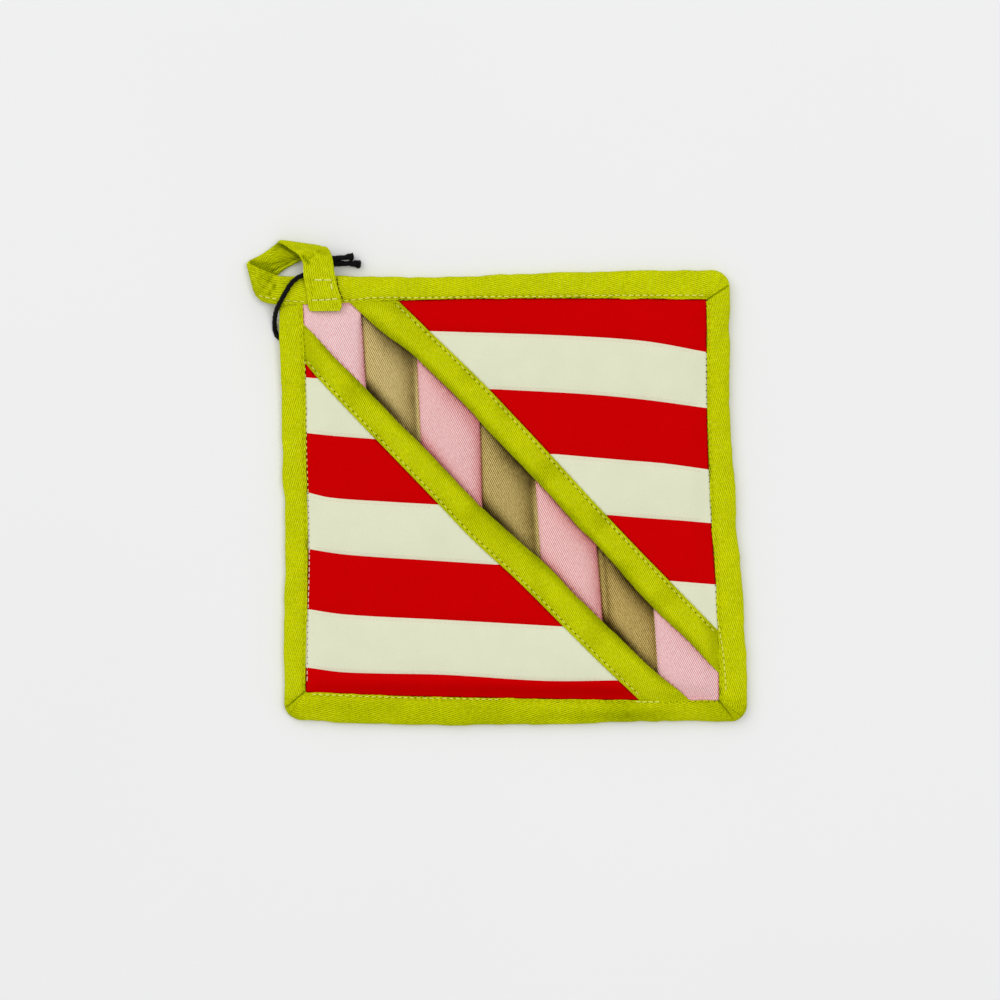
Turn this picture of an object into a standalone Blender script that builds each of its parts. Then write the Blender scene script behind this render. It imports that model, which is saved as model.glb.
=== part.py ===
"""Quilted pot holder with a patchwork front, a folded green binding, a hanging loop and a tied cord.

The holder lies on its back: +X is to its right, +Y up its front, +Z out of its front.  The origin
is the middle of the flat back.  All sizes are in millimetres and are turned into metres where a
mesh is made.
"""
import math

import bmesh
import bpy
from mathutils import Vector
from mathutils.geometry import delaunay_2d_cdt

MM = 0.001
GAP = 0.3

# ---------------------------------------------------------------- driving dimensions
BINDING_CLOTH = 1.2          # folded cloth of the binding, back and edge
BINDING_WIDTH = 11.0         # mean width of the binding on the front
BINDING_TOP = 6.0            # crown of the binding above the table
OUTER_CORNER_RADIUS = 8.0
INNER_CORNER_RADIUS = 1.0
SMALLEST_RADIUS = 0.4
SEAM_HEIGHT = 5.2            # front of the pad along a stripe's seam
STRIPE_PUFF = 1.0            # crown of a stripe above its seams
RIM_HEIGHT = 4.8             # front of the pad where the binding is sewn down
RIM_UNDER_BINDING = 4.2      # front of the pad just under the binding's fold
UNDER_STRIP_HEIGHT = 5.7     # front of the pad under a bias strip
BAND_SEAM_HEIGHT = 4.3       # front of the pad along a seam of the diagonal band
BAND_PUFF = 2.9              # crown of a patch above its seams
POCKET_DEPTH = 1.0           # extra depth of a patch's tucked corner
POCKET_WIDTH = 0.5           # share of the patch's width over which the tuck fades out
POCKET_REACH = 0.4           # and share of the way across the band
SETTLE_WIDTH = 9.0           # how far a line of stitching draws the pad in
CORNER_LIFT = 3.0            # how high the looped corner stands off the table
LIFT_START = 10.0            # distance from that corner, along the diagonal, of the full lift
LIFT_END = 48.0              # and where the pad is down on the table again
LIFTED_CORNER = (-103.0, 99.0)
LIFTED_ROWS = (22.0, 29.0, 36.0, 42.0, LIFT_END)
LIFTED_ROW_PITCH = 6.0
LIFTED_ROW_COUNT = 17        # points in a full row
TAPE_THICKNESS = 1.8
CORD_DIAMETER = 2.0
SIDE_STEPS = 15              # stations along each side
CORNER_STEPS = 4             # stations round each corner
STRIP_STEPS = 27
STRIPE_POINT_PITCH = 9.5
STITCH_MARGIN = 1.1          # rows of points on the pad stop this far from a strip or the binding
HALF_SIZE = 96               # no row of points on the pad reaches further than this from the middle

# ---------------------------------------------------------------- outline of the front
# The place along the side, its outer edge, and the inner edge of the binding.
LEFT_SIDE = (
    # y      outer x  inner x
    (-85.0, -101.9, -92.2),
    (-63.0, -101.9, -91.9),
    (-19.0, -101.2, -91.0),
    (17.0, -102.6, -91.9),
    (44.0, -103.0, -92.0),
    (85.0, -103.9, -93.2),
)
RIGHT_SIDE = (
    (-85.0, 105.2, 92.4),
    (-45.0, 103.2, 91.4),
    (-19.0, 100.8, 89.7),
    (4.0, 99.5, 88.3),
    (44.0, 97.4, 87.0),
    (88.0, 97.2, 87.0),
)
BOTTOM_SIDE = (
    # x      outer y  inner y
    (-92.0, -99.4, -86.8),
    (-56.6, -101.2, -88.2),
    (-12.0, -101.4, -89.2),
    (32.6, -100.8, -90.0),
    (59.0, -99.9, -90.3),
    (92.0, -99.8, -90.3),
)
TOP_SIDE = (
    (-103.4, 98.8, 86.0),
    (-74.5, 98.9, 86.9),
    (-47.7, 98.7, 88.2),
    (-12.0, 99.5, 89.0),
    (41.5, 101.4, 89.1),
    (86.0, 101.7, 88.7),
)

# Section of the binding: distance from the outer edge, height.  It runs from the hem on the
# back, round the edge and over the front to its fold, then back along the inside.
BINDING_SECTION = (
    (BINDING_WIDTH, 0.0), (6.5, 0.0), (2.4, 0.0), (0.8, 0.8), (0.0, 2.2), (0.0, 3.6), (0.7, 4.9),
    (2.4, BINDING_TOP - 0.3), (5.0, BINDING_TOP), (8.3, BINDING_TOP - 0.15),
    (10.4, BINDING_TOP - 0.5), (BINDING_WIDTH, BINDING_TOP - 0.9),
    (BINDING_WIDTH, BINDING_TOP - 1.4), (3.0, BINDING_TOP - 1.5), (1.7, 4.0),
    (BINDING_CLOTH, 3.2), (BINDING_CLOTH, 2.5), (1.7, 1.7), (3.0, BINDING_CLOTH),
    (BINDING_WIDTH, BINDING_CLOTH),
)
# Edge of the pad inside it, from the front down to the back: the same two columns.
PAD_EDGE = (
    (3.0, 4.2), (2.0, 3.8), (BINDING_CLOTH + GAP, 3.1), (BINDING_CLOTH + GAP, 2.6), (2.0, 1.9),
    (3.0, BINDING_CLOTH + GAP), (BINDING_WIDTH + GAP, BINDING_CLOTH + GAP),
    (BINDING_WIDTH + 1.5 * GAP, 0.0),
)

# ---------------------------------------------------------------- stripes
# Seams between the stripes, each as points from the diagonal outwards (x, y).
RIGHT_SEAMS = (
    ((-36.6, 74.5), (23.6, 72.5), (59.3, 70.0), (87.0, 65.1)),
    ((-7.6, 48.6), (32.6, 46.4), (59.3, 43.9), (87.4, 40.1)),
    ((19.2, 19.6), (50.4, 16.9), (68.2, 15.4), (87.9, 12.7)),
    ((43.7, -7.6), (59.3, -8.9), (74.9, -10.0), (88.8, -11.2)),
    ((70.9, -37.0), (79.4, -37.7), (90.5, -38.6)),
)
LEFT_SEAMS = (
    ((-88.8, 53.5), (-93.2, 54.0)),
    ((-61.1, 26.3), (-81.2, 27.9), (-93.2, 29.2)),
    ((-33.5, -2.9), (-56.6, -1.6), (-81.2, 0.2), (-92.8, 2.9)),
    ((-7.6, -29.7), (-38.8, -27.7), (-74.5, -25.2), (-92.3, -22.5)),
    ((21.4, -57.3), (-29.9, -54.4), (-74.5, -52.0), (-91.9, -49.5)),
    ((47.3, -81.4), (14.7, -81.6), (-29.9, -78.9), (-74.5, -77.8), (-91.9, -75.6)),
)
STRIPE_WIDTH = 25.0
CROWN_BY_STRIP = 0.75        # share of its crown that a stripe keeps beside a bias strip
# Rows of points across a stripe: the share of its width, and the share of its crown.
STRIPE_PROFILE = ((0.09, 0.50), (0.27, 0.93), (0.5, 1.0), (0.73, 0.93), (0.91, 0.50))

# ---------------------------------------------------------------- diagonal band
# Bias strips, from the upper left end down to the lower right: outer edge, inner edge (x, y).
UPPER_STRIP = (
    ((-50.0, 87.0), (-71.5, 86.2)),
    ((-45.9, 83.0), (-59.8, 75.8)),
    ((-33.0, 70.5), (-42.1, 61.5)),
    ((-14.5, 52.6), (-23.2, 43.7)),
    ((2.5, 34.8), (-6.7, 25.9)),
    ((19.2, 16.9), (10.3, 8.0)),
    ((35.5, -0.9), (26.8, -9.8)),
    ((52.2, -18.7), (43.3, -27.7)),
    ((69.6, -36.6), (59.3, -45.5)),
    ((87.0, -54.4), (78.0, -63.3)),
    ((91.0, -58.4), (91.7, -77.6)),
)
LOWER_STRIP = (
    ((-91.9, 60.0), (-91.9, 76.5)),
    ((-86.1, 53.1), (-77.6, 61.5)),
    ((-68.9, 34.8), (-60.0, 43.7)),
    ((-51.5, 16.9), (-42.1, 25.9)),
    ((-34.3, -0.9), (-25.2, 8.0)),
    ((-17.2, -18.7), (-7.8, -9.8)),
    ((2.7, -37.0), (12.5, -27.7)),
    ((20.7, -54.9), (30.8, -45.5)),
    ((38.6, -72.7), (48.8, -63.3)),
    ((50.8, -84.3), (66.0, -78.9)),
    ((56.2, -89.4), (78.0, -89.0)),
)
# Section of a bias strip: place across it (-1 outer edge, 1 inner edge), height above its base.
STRIP_SECTION = (
    (-1.0, 0.1), (-1.0, 0.7), (-0.8, 1.2), (-0.35, 1.75), (0.2, 2.0), (0.7, 1.9), (0.95, 1.5),
    (1.0, 0.9), (0.9, 0.2), (0.3, 0.0), (-0.5, 0.0),
)
# Lines on the pad under a bias strip: share of the way from its outer edge, height.
STRIP_BED = ((0.0, UNDER_STRIP_HEIGHT), (0.5, UNDER_STRIP_HEIGHT), (0.97, BAND_SEAM_HEIGHT + 0.5))
# Seams of the band: x of the end on the lower strip, x of the end on the upper strip.
BAND_SEAMS = (
    (-91.0, -71.0),
    (-65.1, -67.3),
    (-40.6, -42.4),
    (-13.2, -14.3),
    (12.9, 10.5),
    (40.6, 37.9),
    (65.1, 63.3),
    (76.5, 90.0),
)
# Rows of points between two seams, and along each of them: the share of the way, of the crown.
PATCH_PROFILE = ((0.0, 0.0), (0.08, 0.45), (0.28, 0.9), (0.5, 1.0), (0.72, 0.95), (0.92, 0.5))
ACROSS_PROFILE = ((0.06, 0.25), (0.24, 0.75), (0.5, 1.0), (0.76, 0.8), (0.94, 0.3))

# ---------------------------------------------------------------- hanging loop
# Cross-lines of the loop's tape from the corner to the end of the tab: its fold edge, its
# stitched edge (x, y), the height of both at mid-thickness, and how far the middle bulges out of
# the tape's right side (less than nothing where the tape is turned over and bulges upwards).
LOOP_STATIONS = (
    # fold edge       height  stitched edge     height  bulge
    ((-103.35, 98.8), 7.6, (-103.35, 86.3), 7.4, 0.4),
    ((-106.6, 99.8), 7.0, (-107.0, 86.5), 6.6, 0.4),
    ((-110.6, 101.7), 6.2, (-110.3, 87.2), 5.9, 0.3),
    ((-114.2, 103.3), 5.6, (-112.3, 88.3), 5.4, 0.1),
    ((-117.0, 104.4), 4.9, (-113.6, 89.7), 4.8, 0.0),
    ((-118.1, 105.1), 3.6, (-114.2, 91.0), 3.5, 0.0),
    ((-117.4, 106.2), 2.3, (-112.8, 92.2), 2.2, 0.0),
    ((-115.4, 107.3), 1.6, (-109.8, 94.8), 1.5, -0.2),
    ((-112.3, 108.9), 1.5, (-105.9, 98.8), 1.3, -0.9),
    ((-109.1, 111.0), 1.7, (-101.3, 102.5), 1.2, -1.3),
    ((-106.6, 112.9), 2.1, (-95.7, 105.5), 1.5, -1.3),
    ((-105.3, 113.8), 2.7, (-90.2, 108.2), 2.3, -0.7),
    ((-104.8, 114.2), 3.6, (-85.8, 110.6), 3.5, -0.2),
    ((-104.3, 114.5), 5.2, (-83.3, 111.7), 5.2, 0.0),
    ((-103.3, 114.0), 6.8, (-81.7, 110.8), 6.8, 0.0),
    ((-99.2, 111.2), 7.9, (-80.6, 108.7), 7.8, 0.2),
    ((-95.2, 108.3), 9.3, (-79.8, 106.1), 9.0, 0.3),
    ((-93.1, 104.5), 10.6, (-79.3, 102.8), 9.9, 0.3),
    ((-92.8, 100.4), 11.1, (-78.7, 99.2), 10.2, 0.2),
    ((-92.4, 96.3), 10.7, (-78.1, 95.9), 10.1, 0.1),
    ((-91.8, 92.4), 10.2, (-77.2, 92.5), 10.0, 0.1),
    ((-91.0, 88.8), 10.0, (-76.1, 89.2), 9.9, 0.1),
    ((-90.7, 85.0), 9.4, (-75.7, 85.4), 9.3, 0.1),
    ((-90.0, 83.1), 9.2, (-76.6, 83.2), 9.1, 0.0),
)
LOOP_SUBSTEPS = 2
TAPE_ACROSS = (0.0, 0.12, 0.35, 0.65, 0.88, 1.0)
TAPE_EDGE_SHARE = 0.55       # the tape's edges are this much as thick as its middle

# ---------------------------------------------------------------- tied cord
KNOT_CENTRE = (-80.7, 105.5, 3.6)
KNOT_SIZE = (5.0, 6.8, 4.4)
KNOT_RIDGE = 0.08            # share of its size that the knot's three wraps stand out
# Route from the knot over the corner, down its left side, and back to the knot under the pad.
CORD_ROUTE = (
    (-83.5, 103.5, 4.7), (-87.1, 101.5, 6.8), (-90.9, 99.9, 8.7), (-94.9, 98.2, 9.9),
    (-98.3, 95.2, 10.4), (-100.9, 91.0, 10.3), (-103.1, 87.1, 9.8), (-104.8, 84.0, 7.9),
    (-105.8, 81.0, 4.6), (-106.2, 78.0, 2.1), (-106.0, 74.8, 1.1), (-104.6, 72.0, 1.1),
    (-101.7, 70.8, 1.1), (-98.8, 72.0, 1.1), (-97.0, 75.0, 1.1), (-94.6, 79.6, 1.1),
    (-91.8, 84.8, 1.1), (-88.7, 90.3, 1.1), (-85.4, 96.2, 1.1), (-82.0, 102.4, 1.5),
)
UPPER_END_ROUTE = ((-78.0, 107.1, 3.7), (-76.1, 107.3, 3.4), (-73.4, 107.7, 2.9), (-70.8, 107.9, 2.4))
LOWER_END_ROUTE = ((-77.8, 104.8, 2.9), (-74.9, 104.9, 2.5), (-70.9, 104.8, 2.1), (-67.5, 104.5, 1.9))
# Share of a free end's length, and its width there as a part of the cord's diameter.
END_SPREAD = ((0.0, 1.04), (0.3, 1.02), (0.6, 0.92), (0.84, 1.35), (1.0, 1.7))
CORD_SPREAD = ((0.0, 1.0), (1.0, 1.0))
CORD_SUBSTEPS = 2

# ---------------------------------------------------------------- colours
COLOURS = {
    "striped cotton": (0.74, 0.72, 0.60, 1.0),
    "green twill": (0.46, 0.50, 0.01, 1.0),
    "black cord": (0.008, 0.008, 0.009, 1.0),
}


# ================================================================ curves and tables
def smooth_points(points, substeps):
    """Points of a Catmull-Rom curve through the given ones, with substeps in each gap."""
    points = [Vector(point) for point in points]
    smooth = []
    for index in range(len(points) - 1):
        before = points[max(index - 1, 0)]
        start = points[index]
        end = points[index + 1]
        after = points[min(index + 2, len(points) - 1)]
        for step in range(substeps):
            t = step / substeps
            smooth.append(0.5 * (2 * start + (end - before) * t
                                 + (2 * before - 5 * start + 4 * end - after) * t ** 2
                                 + (3 * start - before - 3 * end + after) * t ** 3))
    smooth.append(points[-1])
    return smooth


def look_up(rows, column, place):
    """Value of a column at a place, on a smooth curve through the table's rows."""
    if place <= rows[0][0]:
        return rows[0][column]
    for index in range(len(rows) - 1):
        low = rows[index]
        high = rows[index + 1]
        if place <= high[0]:
            before = rows[max(index - 1, 0)]
            after = rows[min(index + 2, len(rows) - 1)]
            span = high[0] - low[0]
            t = (place - low[0]) / span
            slope_low = (high[column] - before[column]) / (high[0] - before[0]) * span
            slope_high = (after[column] - low[column]) / (after[0] - low[0]) * span
            return ((2 * t ** 3 - 3 * t ** 2 + 1) * low[column] + (t ** 3 - 2 * t ** 2 + t) * slope_low
                    + (3 * t ** 2 - 2 * t ** 3) * high[column] + (t ** 3 - t ** 2) * slope_high)
    return rows[-1][column]


def line_at(points, place, axis=0):
    """The other coordinate of a chain of points at a place along the given axis."""
    rows = sorted(points, key=lambda point: point[axis])
    return look_up([(row[axis], row[1 - axis]) for row in rows], 1, place)


def smooth_step(value):
    value = min(max(value, 0.0), 1.0)
    return value * value * (3 - 2 * value)


def mix(low, high, share):
    return low + (high - low) * share


# ================================================================ outline
SIDES = {"left": LEFT_SIDE, "bottom": BOTTOM_SIDE, "right": RIGHT_SIDE, "top": TOP_SIDE}


def side_point(side, along, inset):
    """Point of a side at a distance in from the outer edge, measured on the mean binding."""
    share = inset / BINDING_WIDTH
    across = mix(look_up(SIDES[side], 1, along), look_up(SIDES[side], 2, along), share)
    return Vector((across, along)) if side in ("left", "right") else Vector((along, across))


def corner_radius(inset):
    radius = mix(OUTER_CORNER_RADIUS, INNER_CORNER_RADIUS, inset / BINDING_WIDTH)
    return max(radius, SMALLEST_RADIUS)


def corner_point(upright, level, inset):
    """Where an upright side and a level side would meet."""
    guess = Vector((side_point(upright, 0.0, inset).x, side_point(level, 0.0, inset).y))
    for _ in range(4):
        x = side_point(upright, guess.y, inset).x
        y = side_point(level, x, inset).y
        guess = Vector((x, y))
    return guess


def corner_arc(upright, level, inset, start_degrees):
    """Points round a corner, anticlockwise from the given direction."""
    radius = corner_radius(inset)
    corner = corner_point(upright, level, inset)
    inward_x = 1 if upright == "left" else -1
    inward_y = 1 if level == "bottom" else -1
    centre = corner + Vector((inward_x * radius, inward_y * radius))
    points = []
    for step in range(CORNER_STEPS + 1):
        angle = math.radians(start_degrees + 90 * step / CORNER_STEPS)
        points.append(centre + radius * Vector((math.cos(angle), math.sin(angle))))
    return points


def side_run(side, start, end, inset):
    """Points between two places along a side, both left out."""
    return [side_point(side, mix(start, end, step / SIDE_STEPS), inset) for step in range(1, SIDE_STEPS)]


def outline_from_left_to_top(inset, left_start, top_end):
    """Down the left side, round three corners and back along the top."""
    lower_left = corner_arc("left", "bottom", inset, 180)
    lower_right = corner_arc("right", "bottom", inset, 270)
    upper_right = corner_arc("right", "top", inset, 0)
    points = side_run("left", left_start, lower_left[0].y, inset) + lower_left
    points += side_run("bottom", lower_left[-1].x, lower_right[0].x, inset) + lower_right
    points += side_run("right", lower_right[-1].y, upper_right[0].y, inset) + upper_right
    points += side_run("top", upper_right[-1].x, top_end, inset)
    return points


def closed_outline(inset):
    """The whole outline at a distance in from the outer edge."""
    upper_left = corner_arc("left", "top", inset, 90)
    points = outline_from_left_to_top(inset, upper_left[-1].y, upper_left[0].x)
    return points + upper_left


def open_outline(inset):
    """The binding's run: from under the top seam of the left side round to the looped corner."""
    left_start = side_point("top", LIFTED_CORNER[0], BINDING_WIDTH).y - GAP
    points = [side_point("left", left_start, inset)]
    points += outline_from_left_to_top(inset, left_start, LIFTED_CORNER[0])
    return points + [side_point("top", LIFTED_CORNER[0], inset)]


def lift(x, y):
    """Height that the looped corner gains as it stands off the table."""
    along_diagonal = ((x - LIFTED_CORNER[0]) - (y - LIFTED_CORNER[1])) / math.sqrt(2)
    return CORNER_LIFT * smooth_step((LIFT_END - along_diagonal) / (LIFT_END - LIFT_START))


def lifted(x, y, z):
    return Vector((x, y, z + lift(x, y)))


# ================================================================ mesh making
def new_object(name, mesh_builder, material, collection):
    """Object from a bmesh in millimetres, smooth, with its faces pointing out."""
    bmesh.ops.scale(mesh_builder, vec=(MM, MM, MM), verts=mesh_builder.verts)
    bmesh.ops.triangulate(mesh_builder, faces=mesh_builder.faces[:])
    bmesh.ops.recalc_face_normals(mesh_builder, faces=mesh_builder.faces[:])
    mesh = bpy.data.meshes.new(name)
    mesh_builder.to_mesh(mesh)
    mesh_builder.free()
    mesh.shade_smooth()
    mesh.set_sharp_from_angle(angle=math.radians(50))
    mesh.materials.append(material)
    thing = bpy.data.objects.new(name, mesh)
    collection.objects.link(thing)
    return thing


def bridge(mesh_builder, ring_a, ring_b, closed=True):
    """Quads between two rings of vertices."""
    count = len(ring_a)
    for index in range(count if closed else count - 1):
        after = (index + 1) % count
        mesh_builder.faces.new((ring_a[index], ring_a[after], ring_b[after], ring_b[index]))


def loft(sections):
    """Closed solid through a row of closed sections, with a cap on each end."""
    mesh_builder = bmesh.new()
    rings = [[mesh_builder.verts.new(point) for point in section] for section in sections]
    for ring_a, ring_b in zip(rings, rings[1:]):
        bridge(mesh_builder, ring_a, ring_b)
    mesh_builder.faces.new(rings[0])
    mesh_builder.faces.new(reversed(rings[-1]))
    return mesh_builder


def net(mesh_builder, boundary, lines):
    """Triangles inside a closed boundary that keep to the given lines; all points are 3D."""
    points = list(boundary)
    edges = [(index, (index + 1) % len(boundary)) for index in range(len(boundary))]
    for line in lines:
        first = len(points)
        points += line
        edges += [(first + index, first + index + 1) for index in range(len(line) - 1)]
    flat = [Vector((point[0], point[1])) for point in points]
    result = delaunay_2d_cdt(flat, edges, [], 1, 1e-5)
    sources = result[3]
    vertices = [mesh_builder.verts.new(points[source[0]]) for source in sources]
    for face in result[2]:
        mesh_builder.faces.new([vertices[index] for index in face])
    place_of = {source: index for index, group in enumerate(sources) for source in group}
    return [vertices[place_of[index]] for index in range(len(boundary))]


# ================================================================ pad
def inner_edge_distance(x, y):
    """Distance to the nearest inner edge of the binding."""
    return min(x - side_point("left", y, BINDING_WIDTH).x,
               side_point("right", y, BINDING_WIDTH).x - x,
               y - side_point("bottom", x, BINDING_WIDTH).y,
               side_point("top", x, BINDING_WIDTH).y - y)


def settled(x, y, height):
    """Height of the front, drawn down to the rim near the binding."""
    return mix(RIM_HEIGHT, height, smooth_step(inner_edge_distance(x, y) / SETTLE_WIDTH))


def strip_edges(table, steps):
    """Matching points on the outer and the inner edge of a bias strip."""
    substeps = math.ceil(steps / (len(table) - 1))
    outer = smooth_points([row[0] for row in table], substeps)
    inner = smooth_points([row[1] for row in table], substeps)
    return outer, inner


def strip_clearance(table, x, y):
    """Distance from a bias strip's outer edge, about square to it."""
    edge = line_at([row[0] for row in table], x)
    return abs(y - edge) / math.sqrt(2)


def stripe_reach(row_y, table, direction):
    """Where a stripe's row of points starts beside the strip and ends beside the binding."""
    reach = []
    for half_millimetre in range(-2 * HALF_SIZE, 2 * HALF_SIZE):
        x = 0.5 * half_millimetre * direction
        y = row_y(x)
        beyond = (y - line_at([row[0] for row in table], x)) * direction
        beside = min(beyond / math.sqrt(2), inner_edge_distance(x, y))
        if beside > STITCH_MARGIN:
            reach.append(x)
    return reach


def stripe_lines(seams, table, direction, first_edge, last_edge):
    """Lines of points along the seams and across the stripes of one side of the band."""
    bounds = [first_edge] + [lambda x, seam=seam: line_at(seam, x) for seam in seams] + [last_edge]
    lines = []
    for number, (upper, lower) in enumerate(zip(bounds, bounds[1:])):
        rows = list(STRIPE_PROFILE)
        if number > 0:
            rows.insert(0, (0.0, 0.0))
        for share, crown in rows:
            def row_y(x, upper=upper, lower=lower, share=share):
                return mix(upper(x), lower(x), share)
            reach = stripe_reach(row_y, table, direction)
            if len(reach) < 4:
                continue
            count = max(round(abs(reach[-1] - reach[0]) / STRIPE_POINT_PITCH), 1)
            line = []
            for step in range(count + 1):
                x = mix(reach[0], reach[-1], step / count)
                y = row_y(x)
                beside_strip = smooth_step(strip_clearance(table, x, y) / SETTLE_WIDTH)
                height = SEAM_HEIGHT + STRIPE_PUFF * crown * mix(CROWN_BY_STRIP, 1.0, beside_strip)
                line.append(lifted(x, y, settled(x, y, height)))
            lines.append(line)
    return lines


def band_lines():
    """Lines of points along the seams and across the patches of the diagonal band."""
    lines = []
    for number, (start, end) in enumerate(zip(BAND_SEAMS, BAND_SEAMS[1:])):
        tucked = number % 2
        for share, crown in PATCH_PROFILE:
            foot_x = mix(start[0], end[0], share)
            head_x = mix(start[1], end[1], share)
            foot = Vector((foot_x, line_at([row[1] for row in LOWER_STRIP], foot_x)))
            head = Vector((head_x, line_at([row[1] for row in UPPER_STRIP], head_x)))
            line = []
            for across, rise in ACROSS_PROFILE:
                place = foot.lerp(head, across)
                pocket = tucked * POCKET_DEPTH * (max(0.0, 1 - share / POCKET_WIDTH)
                                                  * max(0.0, 1 - across / POCKET_REACH))
                height = BAND_SEAM_HEIGHT + BAND_PUFF * crown * rise - pocket
                line.append(lifted(place.x, place.y, settled(place.x, place.y, height)))
            lines.append(line)
    return lines


def strip_bed_lines(table):
    """Lines of points on the pad under a bias strip, at the strip's own stations."""
    outer, inner = strip_edges(table, STRIP_STEPS)
    lines = []
    for share, height in STRIP_BED:
        line = []
        for edge, fold in zip(outer, inner):
            place = edge.lerp(fold, share)
            if inner_edge_distance(place.x, place.y) > 0.5 * GAP:
                line.append(lifted(place.x, place.y, settled(place.x, place.y, height)))
        lines.append(line)
    return lines


def make_pad(material, collection):
    mesh_builder = bmesh.new()

    def top_edge(x):
        return side_point("top", x, BINDING_WIDTH).y

    def bottom_edge(x):
        return side_point("bottom", x, BINDING_WIDTH).y

    def below_right_corner(x):
        return line_at(RIGHT_SEAMS[-1], x) - STRIPE_WIDTH

    def above_left_corner(x):
        return line_at(LEFT_SEAMS[0], x) + STRIPE_WIDTH

    lines = stripe_lines(RIGHT_SEAMS, UPPER_STRIP, 1, top_edge, below_right_corner)
    lines += stripe_lines(LEFT_SEAMS, LOWER_STRIP, -1, above_left_corner, bottom_edge)
    lines += band_lines() + strip_bed_lines(UPPER_STRIP) + strip_bed_lines(LOWER_STRIP)
    front_outline = closed_outline(BINDING_WIDTH + GAP)
    front_edge = [lifted(point.x, point.y, RIM_UNDER_BINDING) for point in front_outline]
    ring = net(mesh_builder, front_edge, lines)
    for inset, height in PAD_EDGE[:-1]:
        points = [lifted(point.x, point.y, height) for point in closed_outline(inset)]
        next_ring = [mesh_builder.verts.new(point) for point in points]
        bridge(mesh_builder, ring, next_ring)
        ring = next_ring
    inset, height = PAD_EDGE[-1]
    back_edge = [lifted(point.x, point.y, height) for point in closed_outline(inset)]
    back_ring = net(mesh_builder, back_edge, lifted_back_lines())
    bridge(mesh_builder, ring, back_ring)
    return new_object("quilted_pad", mesh_builder, material, collection)


def lifted_back_lines():
    """Lines of points over the part of the back that is off the table."""
    lines = []
    for along_diagonal in LIFTED_ROWS:
        line = []
        for step in range(LIFTED_ROW_COUNT):
            across = (step - LIFTED_ROW_COUNT // 2) * LIFTED_ROW_PITCH
            x = LIFTED_CORNER[0] + (along_diagonal + across) / math.sqrt(2)
            y = LIFTED_CORNER[1] - (along_diagonal - across) / math.sqrt(2)
            if inner_edge_distance(x, y) > 2 * STITCH_MARGIN:
                line.append(lifted(x, y, 0.0))
        lines.append(line)
    return lines


# ================================================================ binding and strips
def make_binding(material, collection):
    runs = [open_outline(inset) for inset, _ in BINDING_SECTION]
    sections = []
    for station in range(len(runs[0])):
        section = []
        for run, (_, height) in zip(runs, BINDING_SECTION):
            section.append(lifted(run[station].x, run[station].y, height))
        sections.append(section)
    return new_object("edge_binding", loft(sections), material, collection)


def make_strip(name, table, material, collection):
    outer, inner = strip_edges(table, STRIP_STEPS)
    sections = []
    for edge, fold in zip(outer, inner):
        section = []
        for across, rise in STRIP_SECTION:
            place = edge.lerp(fold, (across + 1) / 2)
            base = settled(place.x, place.y, UNDER_STRIP_HEIGHT) + GAP
            section.append(lifted(place.x, place.y, base + rise))
        sections.append(section)
    return new_object(name, loft(sections), material, collection)


# ================================================================ loop and cord
def loop_section(fold_edge, stitched_edge, bulge, along):
    """Closed section of the tape between its two edges, square to the way it runs."""
    across = stitched_edge - fold_edge
    normal = along.cross(across).normalized()
    upper = []
    lower = []
    for share in TAPE_ACROSS:
        swell = 4 * share * (1 - share)
        centre = fold_edge.lerp(stitched_edge, share) + normal * (bulge * swell)
        half = 0.5 * TAPE_THICKNESS * mix(TAPE_EDGE_SHARE, 1.0, min(1.0, 3 * swell))
        upper.append(centre + normal * half)
        lower.append(centre - normal * half)
    return upper + lower[::-1]


def make_loop(material, collection):
    folds = smooth_points([(*row[0], row[1]) for row in LOOP_STATIONS], LOOP_SUBSTEPS)
    stitched = smooth_points([(*row[2], row[3]) for row in LOOP_STATIONS], LOOP_SUBSTEPS)
    bulges = smooth_points([(row[4], 0.0, 0.0) for row in LOOP_STATIONS], LOOP_SUBSTEPS)
    middles = [(fold + edge) / 2 for fold, edge in zip(folds, stitched)]
    sections = []
    for index, (fold, edge) in enumerate(zip(folds, stitched)):
        along = middles[min(index + 1, len(middles) - 1)] - middles[max(index - 1, 0)]
        sections.append(loop_section(fold, edge, bulges[index].x, along))
    return new_object("hanging_loop", loft(sections), material, collection)


def make_tube(name, route, spread, material, collection):
    """Cord along a smooth curve through its route, as wide as the table of its spread says."""
    points = smooth_points(route, CORD_SUBSTEPS)
    curve = bpy.data.curves.new(name, "CURVE")
    curve.dimensions = "3D"
    curve.bevel_depth = 0.5 * CORD_DIAMETER * MM
    curve.bevel_resolution = 2
    curve.use_fill_caps = True
    spline = curve.splines.new("POLY")
    spline.points.add(len(points) - 1)
    for index, point in enumerate(points):
        spline.points[index].co = (*(point * MM), 1.0)
        spline.points[index].radius = look_up(spread, 1, index / (len(points) - 1))
    curve.materials.append(material)
    thing = bpy.data.objects.new(name, curve)
    collection.objects.link(thing)
    return thing


def make_knot(material, collection):
    mesh_builder = bmesh.new()
    bmesh.ops.create_icosphere(mesh_builder, subdivisions=2, radius=0.5)
    for vertex in mesh_builder.verts:
        angle = math.atan2(vertex.co.y, vertex.co.x)
        wrap = 1 + KNOT_RIDGE * math.cos(3 * angle + 4 * vertex.co.z)
        offset = Vector([wrap * extent * value for extent, value in zip(KNOT_SIZE, vertex.co)])
        vertex.co = Vector(KNOT_CENTRE) + offset
    return new_object("tie_knot", mesh_builder, material, collection)


# ================================================================ the whole
def clear_scene():
    for thing in list(bpy.data.objects):
        bpy.data.objects.remove(thing, do_unlink=True)


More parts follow.
